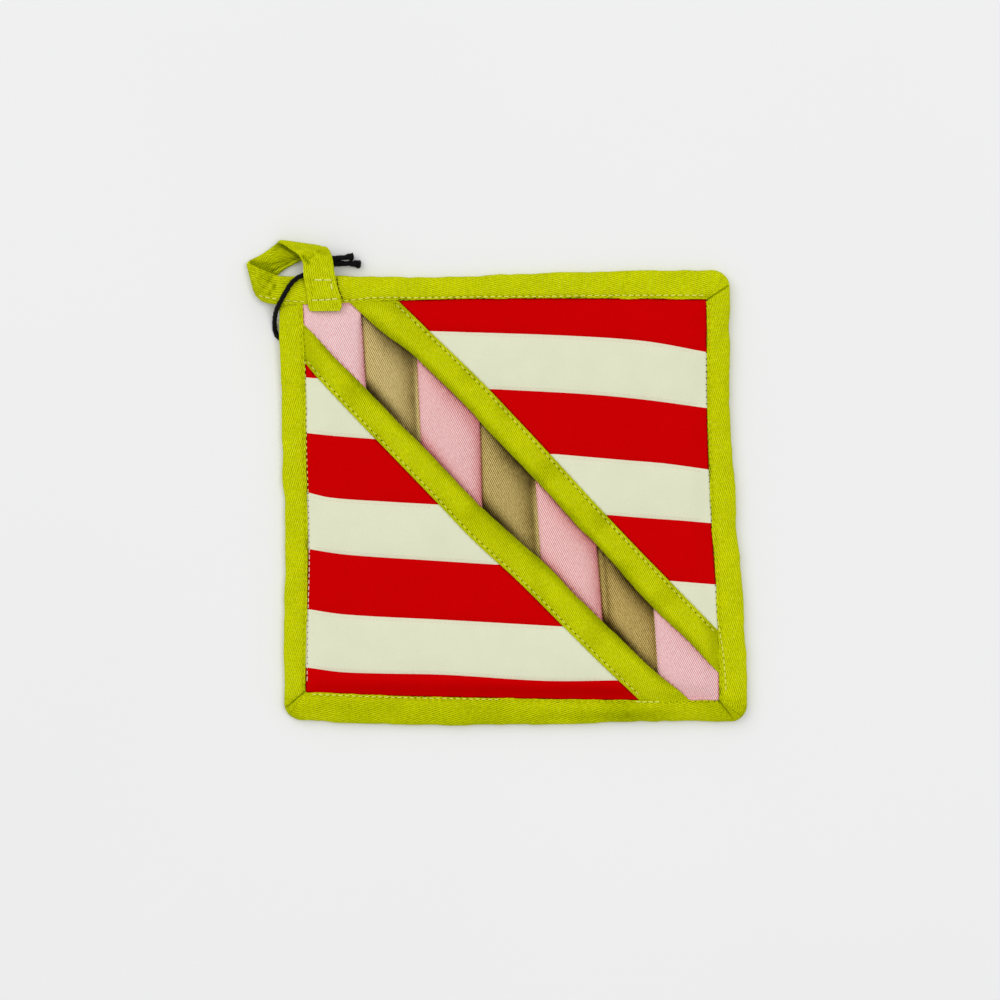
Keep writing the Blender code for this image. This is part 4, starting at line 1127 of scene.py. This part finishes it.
def make_pad(materials):
    flat, faces = front_net(outline(PAD_EDGE[0][0], *PAD_STEPS), FRONT_PITCH)
    kinds = face_regions(flat, faces).tolist()
    heights, fold = front_form(flat[:, 0], flat[:, 1])
    points = [np.column_stack([flat, heights + lift(flat[:, 0], flat[:, 1])])]
    first = len(flat)
    rings = []
    for inset, height in PAD_EDGE:
        ring = outline(inset, *PAD_STEPS)
        rings.append(np.arange(first, first + len(ring)))
        points.append(np.column_stack([ring, height + lift(ring[:, 0], ring[:, 1])]))
        first += len(ring)
    for ring_a, ring_b in zip(rings, rings[1:]):
        quads = np.stack([ring_a, np.roll(ring_a, -1), np.roll(ring_b, -1), ring_b], axis=-1)
        faces += quads.tolist()
    back, back_faces = back_net()
    depth = quilting_depth(back[:, 0], back[:, 1])
    depth *= smooth_step((inner_edge_distance(back[:, 0], back[:, 1]) - 0.6) / 2.0)
    points.append(np.column_stack([back, depth + lift(back[:, 0], back[:, 1])]))
    faces += [[first + index for index in face] for face in back_faces]
    kinds += [BACK_KIND] * (len(faces) - len(kinds))
    slots = [materials["red"], materials["cream"]]
    for patch in range(len(BAND_SEAMS) - 1):
        slots.append(materials[f"{'khaki' if patch % 2 else 'pink'}_{patch // 2}"])
    slots.append(materials["back"])
    points = np.vstack(points)
    pad = add_piece("patchwork_pad", points, faces, slots, "patchwork_cotton", kinds,
                    fold=np.concatenate([fold, np.zeros(len(points) - len(fold))]))
    builder = bmesh.new()
    builder.from_mesh(pad.data)
    bmesh.ops.remove_doubles(builder, verts=builder.verts, dist=0.02 * MM)
    bmesh.ops.recalc_face_normals(builder, faces=builder.faces[:])
    builder.to_mesh(pad.data)
    builder.free()
    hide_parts("quilted_pad")
    return pad


# ================================================================ binding
TUCK = 2.6                   # how far the left side runs on under the top
BINDING_STEPS = (230, 36)    # points along a side and round a corner
# Unevenness of the tape: size, pitch, seed, and its places as shares of the run and the girth
# (run, girth; girth).
TAPE_WAVES = (
    (0.36, 10.0, 21, 1.0, 0.0, 1.0), (0.12, 3.4, 22, 1.0, 0.0, 1.3), (0.22, 5.5, 24, 1.0, 0.8, 0.3),
    (0.10, 2.0, 23, 0.35, 0.0, 2.2),
)
PUCKER_PITCH = 3.1
GROOVE_PLACE = 10.2          # of the sewing, in from the outer edge
MITRE_DEPTH = 0.45
# Painted shade in the groove of a mitre.
MITRE_SHADE = 0.8
# Painted shade along the lower side, which faces down.
LOW_SIDE_SHADE = 0.15
LOW_FOLD_SHADE = 0.17              # painted shade of a long shallow fold in the lower side, which the shape doesn't have
LEAST_SHIFT = -0.6           # the skin's lowest place over the pad's edge
STRIP_SWELL = 0.55           # rise over the end of a strip
TUCKED_FALL = 1.5            # of the left side's end, which the top side covers
LOOP_FALL = 0.9              # of the top side's end, inside the start of the loop


def distance_to_line(x, y, start, end):
    """Distance to a straight line's piece, and the side of it that a point is on."""
    start = np.array(start)
    along = np.array(end) - start
    size = np.linalg.norm(along)
    along = along / size
    place = np.clip((x - start[0]) * along[0] + (y - start[1]) * along[1], 0.0, size)
    aside_x = x - start[0] - place * along[0]
    aside_y = y - start[1] - place * along[1]
    side = (x - start[0]) * along[1] - (y - start[1]) * along[0]
    return np.hypot(aside_x, aside_y), np.sign(side)


def fine_section():
    """The binding's section with a smooth skin; the last column is the share of skin, 1 outside."""
    skin = smooth_points(BINDING_SECTION[:BINDING_SKIN + 1], 4)
    skin[:, 1] = np.maximum(skin[:, 1], 0.0)
    skin[:, 0] = np.clip(skin[:, 0], 0.0, BINDING_WIDTH)
    inside = np.array(BINDING_SECTION[BINDING_SKIN + 1:])
    outer = np.column_stack([skin, np.ones(len(skin))])
    return np.vstack([outer, np.column_stack([inside, np.zeros(len(inside))])])


def tape_relief(x, y, run, girth, inset, upper):
    """How far the tape stands out of its section, and the shade painted into its colour."""
    shift = sum(size * soft_noise(run * along + girth * slant, girth * across, pitch, seed)
                for size, pitch, seed, along, slant, across in TAPE_WAVES)
    pucker = 0.5 - 0.5 * np.cos(2 * math.pi * run / PUCKER_PITCH)
    shift -= upper * (0.22 + 0.16 * pucker) * bell(inset - GROOVE_PLACE, 0.75)
    # Painted shade in the puckers of the sewing, along the lower side, in the lower side's painted fold and
    # along the mitres; its patches vary at random.
    painted_tape_shade = 0.28 * pucker * bell(inset - 10.0, 0.5) * upper
    mottle = 1 + 0.9 * soft_noise(run, girth, 15.0, 26)
    painted_tape_shade = painted_tape_shade + LOW_SIDE_SHADE * mottle * smooth_step((-86.0 - y) / 8.0)
    low_painted_shade = smooth_step((x - 8.0) / 12.0) * smooth_step((76.0 - x) / 16.0) * (y < -88.0)
    painted_tape_shade = painted_tape_shade + LOW_FOLD_SHADE * low_painted_shade * (0.8 + 0.5 * mottle) * bell(inset - 3.6, 2.6)
    for start, end in MITRES:
        distance, side = distance_to_line(x, y, start, end)
        shift -= upper * MITRE_DEPTH * bell(distance, 0.34)
        painted_tape_shade = np.maximum(painted_tape_shade, MITRE_SHADE * bell(distance, 0.30))
        shift += upper * 0.16 * side * np.exp(-distance / 2.5)
    return np.where((inset > 7.0) & (upper > 0.5), np.maximum(shift, LEAST_SHIFT), shift), painted_tape_shade


def tape_rise(x, y, inset, station, left_start):
    """Rise of the tape's top over the strips' ends, and its fall where the top side begins and ends."""
    swell = np.zeros_like(x)
    for table in (UPPER_STRIP, LOWER_STRIP):
        for outer, inner in np.array((table[0], table[-1])):
            middle = (outer + inner) / 2
            distance = np.hypot(x - middle[0], y - middle[1])
            swell += STRIP_SWELL * smooth_step((np.linalg.norm(outer - inner) / 2 + 2.0 - distance) / 5.0)
    half_side = BINDING_STEPS[0] // 2
    tucked = smooth_step((y - left_start + TUCK + 1.2) / 1.6) * (station < half_side)[:, None]
    last = (station > len(station) - half_side)[:, None]
    return (swell * smooth_step((inset - 3.0) / 5.0)
            - TUCKED_FALL * tucked * (1 - smooth_step((inset - 8.0) / 2.0))
            - LOOP_FALL * smooth_step((-98.5 - x) / 4.0) * last)


def tape_along(x, y, station):
    """Place along the tape on each side, which turns at the middle of a corner."""
    side_steps, corner_steps = BINDING_STEPS
    turns = [side_steps + corner_steps // 2 + number * (side_steps + corner_steps) for number in range(3)]
    upright = (station < turns[0]) | ((station >= turns[1]) & (station < turns[2]))
    return np.where(upright[:, None], y, x)


def make_binding(materials):
    section = fine_section()
    left_start = across_at("top", LIFTED_CORNER[0], BINDING_WIDTH) + TUCK
    runs = []
    for inset, height, _ in section:
        run = outline(inset, *BINDING_STEPS, left_start, LIFTED_CORNER[0])
        runs.append(np.column_stack([run, np.full(len(run), height)]))
    sections = np.stack(runs, axis=1)
    x = sections[..., 0].copy()
    y = sections[..., 1].copy()
    inset, height, skin = (np.broadcast_to(section[:, column], x.shape) for column in range(3))
    upper = skin * smooth_step((height - 3.0) / 1.5)
    station = np.arange(len(x))
    run = lengths(sections[:, 30])[:, None] + np.zeros_like(x)
    girth = section_girth(sections)
    shift, painted_tape_shade = tape_relief(x, y, run, girth, inset, upper)
    sections = sections + grid_normals(sections) * (shift * skin)[..., None]
    sections[..., 2] += upper * tape_rise(x, y, inset, station, left_start)
    sections[..., 2] = np.maximum(sections[..., 2], 0.0) + lift(x, y)
    columns = sections.shape[1]
    binding = add_piece("binding_tape", sections.reshape(-1, 3), grid_faces(len(sections), columns),
                        [materials["binding"]], "green_twill",
                        loop_uv=sweep_uv(tape_along(x, y, station), girth, columns),
                        fold=(painted_tape_shade * skin).ravel())
    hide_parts("edge_binding")
    return binding


# ================================================================ bias strips
# Place across (0 outer edge, 1 inner edge), height above the outer edge's foot for the first
# rows and above the bed for the rest; the last column is how much of the puckering and of the painted shade
# it takes.
STRIP_SKIN = (
    (0.000, 0.05, 0.0), (-0.012, 0.30, 0.3), (0.000, 0.62, 1.0), (0.035, 0.84, 1.0), (0.075, 0.92, 1.0),
    (0.120, 0.90, 1.0), (0.165, 1.02, 1.0), (0.230, 1.32, 1.0), (0.310, 1.62, 1.0), (0.400, 1.86, 1.0),
    (0.500, 2.02, 1.0), (0.600, 2.12, 1.0), (0.700, 2.12, 1.0), (0.790, 2.02, 1.0), (0.870, 1.82, 1.0),
    (0.930, 1.56, 1.0), (0.975, 1.22, 1.0), (0.998, 0.82, 1.0), (0.995, 0.42, 0.6), (0.960, 0.16, 0.2),
    (0.880, 0.05, 0.0), (0.600, 0.00, 0.0), (0.300, 0.00, 0.0), (0.080, 0.00, 0.0),
)
STRIP_STATIONS = 430
UNDER_BINDING = 3.0          # how far a strip runs on under the binding
STRIP_STITCH_PITCH = 3.05
STRIP_STITCH_PLACE = 0.105
STITCH_DITCH_AND_SHADE = 0.22          # depth of a strip's sewing between its puckers, and the shade painted in it there
# Painted shade where a strip's inner edge curves down.
INNER_EDGE_SHADE = 0.40
STRIP_MOTTLE = 0.22


def strip_line(table, share, count):
    """Points along a strip at a share of its width."""
    outer, inner = (smooth_points(run_on(strip_edge(table, column), UNDER_BINDING), 24) for column in (0, 1))
    line = mix(outer, inner, share)
    run = lengths(mix(outer, inner, 0.5))
    places = np.linspace(0.0, run[-1], count)
    return np.column_stack([np.interp(places, run, line[:, axis]) for axis in range(2)])


def make_strip(name, node, table, seed, turn, materials):
    flat = np.stack([strip_line(table, row[0], STRIP_STATIONS) for row in STRIP_SKIN], axis=1)
    x = flat[..., 0]
    y = flat[..., 1]
    share, rise, skin = np.array(STRIP_SKIN).T[:, None]
    edge = strip_line(table, 0.0, STRIP_STATIONS)
    edge_height = front_form(edge[:, 0], edge[:, 1])[0][:, None]
    inside = inner_edge_distance(x, y)
    bed = mix(RIM_HEIGHT, UNDER_STRIP_HEIGHT + 0.2, smooth_step(inside / SETTLE_WIDTH))
    base = mix(edge_height, bed, smooth_step(share / 0.35))
    flatten = mix(0.30, 1.0, smooth_step((inside + 0.5) / 5.5))
    run = lengths(strip_line(table, 0.5, STRIP_STATIONS))[:, None]
    phase = 2 * math.pi * run / STRIP_STITCH_PITCH
    pucker = (0.5 - 0.5 * np.cos(phase)) * bell(share - STRIP_STITCH_PLACE, 0.055)
    beside_row = bell(share - STRIP_STITCH_PLACE, 0.05)
    shift = -0.03 * beside_row - STITCH_DITCH_AND_SHADE * (1 - 2 * pucker) * beside_row
    shift = shift + 0.13 * soft_noise(run, share * 12 + seed * 31, 7.0, seed)
    shift = shift + 0.07 * soft_noise(run, share * 12 + seed * 17, 2.6, seed + 1)
    shift = shift + 0.07 * soft_noise(run - share * 9, share * 3 + seed, 4.0, seed + 2)
    height = base + rise * flatten + shift * skin
    # The free inner edge strays sideways a little.
    sway = uneven(run, run * 0, ((0.55, 15.0, seed + 3), (0.12, 4.0, seed + 4)))
    towards = strip_line(table, 1.0, STRIP_STATIONS) - edge
    towards /= np.linalg.norm(towards, axis=1, keepdims=True)
    weight = smooth_step((share - 0.75) / 0.2) * smooth_step((inside - 0.5) / 4.0)
    x = x + towards[:, :1] * sway * weight
    y = y + towards[:, 1:] * sway * weight
    sections = np.stack([x, y, height + lift(x, y)], axis=-1)
    # Shade painted into the strip's colour: at its inner edge, less near the binding, and in the ditch of its
    # sewing; and dark patches at random.
    open_run = mix(0.3, 1.0, smooth_step((inside - 2.0) / 9.0))
    dark = INNER_EDGE_SHADE * open_run * smooth_step((share - 0.72) / 0.26)
    dark = dark + STITCH_DITCH_AND_SHADE * (1 - pucker) * beside_row
    dark = dark + STRIP_MOTTLE * np.clip(soft_noise(run, share * 14, 11.0, seed + 5), 0.0, 1.0)
    along = np.broadcast_to(turn * run, x.shape)
    uv = sweep_uv(along, section_girth(sections), x.shape[1])
    strip = add_piece(name, sections.reshape(-1, 3), grid_faces(*x.shape), [materials["strip"]],
                      "green_twill", loop_uv=uv, fold=(dark * skin).ravel())
    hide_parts(node)
    return strip


# ================================================================ loop
LOOP_STEPS = 12
LOOP_WAVES = ((0.14, 4.5, 41), (0.06, 1.9, 42))
LOOP_STITCH_PITCH = 3.0
LOOP_STITCH_PLACE = 0.90
# Station of the loop, and how far its cloth lies in the shade there.
LOOP_SHADE = (
    (-1.0, 0.0), (0.0, 0.10), (1.5, 0.20), (5.0, 0.18), (6.0, 0.10), (8.0, 0.12), (11.0, 0.17),
    (12.5, 0.12), (14.0, 0.04), (15.5, 0.10), (17.5, 0.02), (24.0, 0.02),
)
TAPE_PLACES = (0.0, 0.01, 0.025, 0.045, 0.07, *np.linspace(0.10, 0.84, 24), 0.865, 0.885, 0.905, 0.925,
               0.945, 0.965, 0.985, 1.0)
WINDOW_EDGE = 0.5            # a crease fades out over this part of a station at its ends


def chain_distance(x, y, points):
    """Distance to the nearest place on a chain of points."""
    parts = [distance_to_line(x, y, start, end)[0] for start, end in zip(points, points[1:])]
    return np.minimum.reduce(parts)


def tape_half(share):
    """Half the tape's thickness: round at the fold, thinner at the sewn edge."""
    fold = np.sqrt(np.clip(1 - (1 - np.clip(share / 0.085, 0.0, 1.0)) ** 2, 0.0, 1.0))
    sewn = mix(0.62, 1.0, smooth_step((1 - share) / 0.16))
    end = mix(0.55, 1.0, smooth_step((1 - share) / 0.02))
    return 0.5 * TAPE_THICKNESS * fold * sewn * end


def crease_relief(x, y, station, dark):
    """Depth of the creases at places of the tape, and the shade painted into it with the creases' own painted
    shade, less on a ridge.
    """
    depths = 0.0
    for first, last, width, depth, darkness, points in LOOP_CREASES:
        window = smooth_step((station - first) / WINDOW_EDGE) * smooth_step((last - station) / WINDOW_EDGE)
        near = window * bell(chain_distance(x, y, points), width)
        depths = depths + depth * near
        dark = np.maximum(dark, darkness * near) if darkness >= 0 else dark * (1 + darkness * near)
    return depths, dark


def make_loop(materials):
    rows = smooth_points([(*row[0], row[1], *row[2], row[3], row[4]) for row in LOOP_STATIONS], LOOP_STEPS)
    fold = rows[:, 0:3]
    sewn = rows[:, 3:6]
    bulge = rows[:, 6]
    station = np.arange(len(rows)) / LOOP_STEPS - 1.0
    middle = (fold + sewn) / 2
    across = sewn - fold
    normal = np.cross(np.gradient(middle, axis=0), across)
    normal /= np.linalg.norm(normal, axis=1, keepdims=True)
    run = lengths(middle)
    stitch = 0.5 + 0.5 * np.cos(2 * math.pi * run / LOOP_STITCH_PITCH)
    width = np.linalg.norm(across, axis=1)
    visible = np.sign(normal[:, 2])
    upper = []
    lower = []
    girth = []
    dark = []
    for share in TAPE_PLACES:
        swell = 4 * share * (1 - share)
        flat = fold + across * share
        x = flat[:, 0]
        y = flat[:, 1]
        # The loop's painted shade: set by station, in streaks, and in its creases.
        streaks = soft_noise(0.6 * x - y, 0.3 * (x + y), 1.9, 43)
        depth, painted_loop_shade = crease_relief(x, y, station, hermite(LOOP_SHADE, 1, station) * (1 + 0.7 * streaks))
        shift = uneven(run, np.full_like(run, share * 13), LOOP_WAVES) - visible * depth
        groove = (0.10 + 0.16 * stitch) * bell(share - LOOP_STITCH_PLACE, 0.045)
        kept = min(1.0, 3 * swell + 0.25)
        centre = flat + normal * (bulge * swell + shift * kept)[:, None]
        half = float(tape_half(np.array(share)))
        upper.append(centre + normal * (half - groove)[:, None])
        lower.append(centre - normal * (half - groove * 0.6)[:, None])
        girth.append(share * width)
        dark.append(painted_loop_shade)
    sections = np.stack(upper + lower[::-1], axis=1)
    around = np.stack(girth + [2 * width - value for value in girth[::-1]], axis=1)
    sections[..., 2] = np.maximum(sections[..., 2], 0.0)
    uv = sweep_uv(np.broadcast_to(run[:, None], around.shape), around, around.shape[1])
    loop = add_piece("loop_tape", sections.reshape(-1, 3), grid_faces(*sections.shape[:2]),
                     [materials["loop"]], "green_twill", loop_uv=uv,
                     fold=np.stack(dark + dark[::-1], axis=1).ravel())
    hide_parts("hanging_loop")
    return loop


# ================================================================ cord
CORD_SIDES = 14
CORD_PLAIT = 0.06            # how far the strands stand out, as a share of the radius
CORD_FUZZ = 1.06             # the cord's loose threads stand out this much
END_PLAIT = 0.10
END_FRAY = 1.20              # and those of its cut ends
# Where each free end comes out of the knot.
UPPER_END_ROOT = (-80.4, 106.2, 4.0)
LOWER_END_ROOT = (-80.2, 104.6, 3.3)
KNOT_SIDES = 12
KNOT_STEPS = 96


def add_tube(name, rings, run, radius, material):
    """Piece of the cord from its rings; radius is the plain one, at each ring."""
    sides = rings.shape[1]
    girth = np.broadcast_to(radius * (2 * math.pi * np.arange(sides) / sides)[None], rings.shape[:2])
    uv = sweep_uv(np.broadcast_to(run[:, None], girth.shape), girth, sides)
    return add_piece(name, rings.reshape(-1, 3), grid_faces(*rings.shape[:2]), [material], "black_cord",
                     loop_uv=uv)


def plaited_tube(name, route, width_at, material, plait=CORD_PLAIT):
    """Stretch of cord along a route, whose strands wind both ways round it, and its path."""
    path = evenly(route, 0.35)
    run = lengths(path)
    radius = 0.5 * CORD_DIAMETER * width_at(run / run[-1])[:, None]
    angles = 2 * math.pi * np.arange(CORD_SIDES)[None] / CORD_SIDES
    twist = np.cos(3 * angles + 2.2 * run[:, None]) + 0.6 * np.cos(5 * angles - 2.9 * run[:, None])
    rings = tube_rings(path, radius * (1 + plait * twist), CORD_SIDES)
    rings[..., 2] = np.maximum(rings[..., 2], 0.0)
    return add_tube(name, rings, run, radius, material), path


def make_knot(material):
    """The cord wound through itself: a trefoil drawn tight."""
    turns = np.linspace(0.0, 2 * math.pi, KNOT_STEPS + 1)[:-1]
    x = (np.sin(turns) + 2 * np.sin(2 * turns)) / 3.0
    y = (np.cos(turns) - 2 * np.cos(2 * turns)) / 3.0
    z = -np.sin(3 * turns) * 0.8
    radius = 0.5 * CORD_DIAMETER
    path = np.column_stack([x, y, z]) * (np.array(KNOT_SIZE) / 2 - radius * 0.9) + np.array(KNOT_CENTRE)
    closed = np.vstack([path, path[:1]])
    rings = tube_rings(np.vstack([path[-1:], closed, path[1:2]]), np.full(KNOT_STEPS + 3, radius), KNOT_SIDES)
    return add_tube("cord_knot", rings[1:-1], lengths(closed), radius, material)


def end_width(share):
    """Width of a cut end that spreads, with a rounded tip."""
    return END_FRAY * hermite(END_SPREAD, 1, share) * mix(0.5, 1.0, smooth_step((1 - share) / 0.05))


def make_cord(materials):
    material = materials["cord"]
    cord, path = plaited_tube("cord", CORD_ROUTE, lambda share: np.full_like(share, CORD_FUZZ), material)
    upper, lower = (
        plaited_tube(name, (root, *route), end_width, material, END_PLAIT)[0]
        for name, root, route in (("cord_end_upper", UPPER_END_ROOT, UPPER_END_ROUTE),
                                  ("cord_end_lower", LOWER_END_ROOT, LOWER_END_ROUTE)))
    knot = make_knot(material)
    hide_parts("tie_cord")
    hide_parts("tie_end_upper")
    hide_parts("tie_end_lower")
    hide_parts("tie_knot")


# ================================================================ sewing
# Rows of sewing: points, pitch, length of a stitch (none where only its hole shows), radius of a hole, which
# is a disc of painted shade.
BINDING_STITCHES = (
    (LOOP_ROW, 3.1, 2.0, 0.24), (TOP_ROW, 3.1, 2.2, 0.22), (BOTTOM_ROW[6:], 2.9, 1.7, 0.28),
    (BOTTOM_ROW[3:7], 2.9, 0.0, 0.22), (BOTTOM_ROW[2:4], 2.7, 2.3, 0.22), (BOTTOM_ROW[:3], 2.8, 0.0, 0.32),
    (RIGHT_ROW[:7], 2.9, 0.0, 0.36), (RIGHT_ROW[6:], 2.9, 2.2, 0.24), (LEFT_ROW[:2], 2.7, 0.0, 0.34),
    (LEFT_ROW[1:5], 2.7, 1.2, 0.34),
)
LOW_LEFT_STITCHES = ((LEFT_ROW[4:], 2.7, 2.0, 0.30),)
TAB_STITCHES = ((TAB_ROWS[0], 4.3, 3.9, 0.28), (TAB_ROWS[1], 2.9, 2.5, 0.28), (TAB_ROWS[2], 3.3, 2.9, 0.28))
# Dark dashes beside the tab: a dark thread, and the painted shadow of the tab's edge.
TAB_SIDE_STITCHES = ((TAB_SIDE_ROW, 2.1, 1.6, 0.0),)
SEAM_TO_STITCHES = 1.35      # the patchwork's sewing lies this far into the cream cloth


def patchwork_rows():
    """Rows of fine sewing along the seams of the stripes, on the cream side."""
    rows = []
    for seams, strip in ((RIGHT_SEAMS, 0), (LEFT_SEAMS, 1)):
        for number, seam in enumerate(seams):
            ends = sorted(x for x, _ in seam)
            xs = np.linspace(ends[0], ends[-1], 40)
            ys = line_at(seam, xs) + (SEAM_TO_STITCHES if number % 2 else -SEAM_TO_STITCHES)
            keep = (strip_shares(xs, ys)[strip] < -0.1) & (inner_edge_distance(xs, ys) > 1.5)
            if keep.sum() > 3:
                rows.append((np.column_stack([xs[keep], ys[keep]]), 3.4, 1.5, 0.17))
    return rows


def make_sewing(pad, binding, strips, loop, materials):
    cloth = tree_of(pad, binding, loop, *strips)
    with_loop = tree_of(binding, loop)
    strip_rows = [(strip_line(table, STRIP_STITCH_PLACE, 60)[1:-1], STRIP_STITCH_PITCH, 1.7, 0.34)
                  for table in (UPPER_STRIP, LOWER_STRIP)]
    for name, rows, under, thread, radius, rise in (
            ("stitches_binding", BINDING_STITCHES, cloth, "thread_green", 0.19, 0.10),
            ("stitches_low_left", LOW_LEFT_STITCHES, cloth, "thread_cream", 0.19, 0.10),
            ("stitches_strips", strip_rows, cloth, "thread_bias", 0.17, 0.06),
            ("stitches_tab", TAB_STITCHES, with_loop, "thread_tab", 0.26, 0.14),
            ("stitches_tab_side", TAB_SIDE_STITCHES, with_loop, "dark_thread_and_painted_shade", 0.21, 0.10)):
        add_stitches(name, rows, under, materials[thread], materials["dark_thread_and_painted_shade"], "green_twill", radius,
                     rise)
    add_stitches("stitches_patchwork", patchwork_rows(), cloth, materials["thread_cream"],
                 materials["cream_painted_hole_shade"], "patchwork_cotton", 0.13, 0.03)


# ================================================================ studio
WORLD_LIGHT = 0.60
# Place, size across and power of each light, in metres and watts.
LIGHTS = {"key": ((-2.3, 1.8, 3.3), 4.6, 64.5), "fill": ((0.9, 0.1, 2.6), 1.2, 15.5)}
FLOOR_TONES = ((0.86, 0.86, 0.865), (0.89, 0.89, 0.895))
FLOOR_MOTTLE_PITCH = 260.0


def add_camera():
    data = bpy.data.cameras.new("camera")
    data.lens = LENS
    data.sensor_width = SENSOR
    camera = bpy.data.objects.new("camera", data)
    camera.location = (VIEW_CENTRE[0] * MM, VIEW_CENTRE[1] * MM, CAMERA_HEIGHT * MM)
    bpy.context.scene.collection.objects.link(camera)
    bpy.context.scene.camera = camera


def add_light(name, location, size, power):
    data = bpy.data.lights.new(name, "AREA")
    data.shape = "DISK"
    data.size = size
    data.energy = power
    light = bpy.data.objects.new(name, data)
    light.location = location
    light.rotation_euler = Vector(location).to_track_quat("Z", "Y").to_euler()
    bpy.context.scene.collection.objects.link(light)


def add_studio():
    world = bpy.data.worlds.new("studio")
    world.use_nodes = True
    world.node_tree.nodes["Background"].inputs["Color"].default_value = (1.0, 1.0, 1.0, 1.0)
    world.node_tree.nodes["Background"].inputs["Strength"].default_value = WORLD_LIGHT
    bpy.context.scene.world = world
    bpy.context.scene.view_settings.view_transform = "Standard"
    for name, settings in LIGHTS.items():
        add_light(name, *settings)
    plaster = Cloth("floor", "Object")
    tone = plaster.blend(plaster.noise(plaster.place, FLOOR_MOTTLE_PITCH), *map(shaded, FLOOR_TONES))
    corner = 0.5 * FLOOR_SIZE
    points = [(x, y, FLOOR_HEIGHT) for x, y in
              ((-corner, -corner), (corner, -corner), (corner, corner), (-corner, corner))]
    floor = add_piece("floor", points, [(0, 1, 2, 3)], [plaster.finish(tone, 0.95, 0.0)])


# ================================================================ the whole
def main():
    add_camera()
    materials = make_materials()
    make_cord(materials)
    add_studio()
    pad = make_pad(materials)
    binding = make_binding(materials)
    strips = [make_strip("strip_upper", "bias_strip_upper", UPPER_STRIP, 51, 1, materials),
              make_strip("strip_lower", "bias_strip_lower", LOWER_STRIP, 61, -1, materials)]
    loop = make_loop(materials)
    make_sewing(pad, binding, strips, loop, materials)
    bpy.context.view_layer.update()


main()
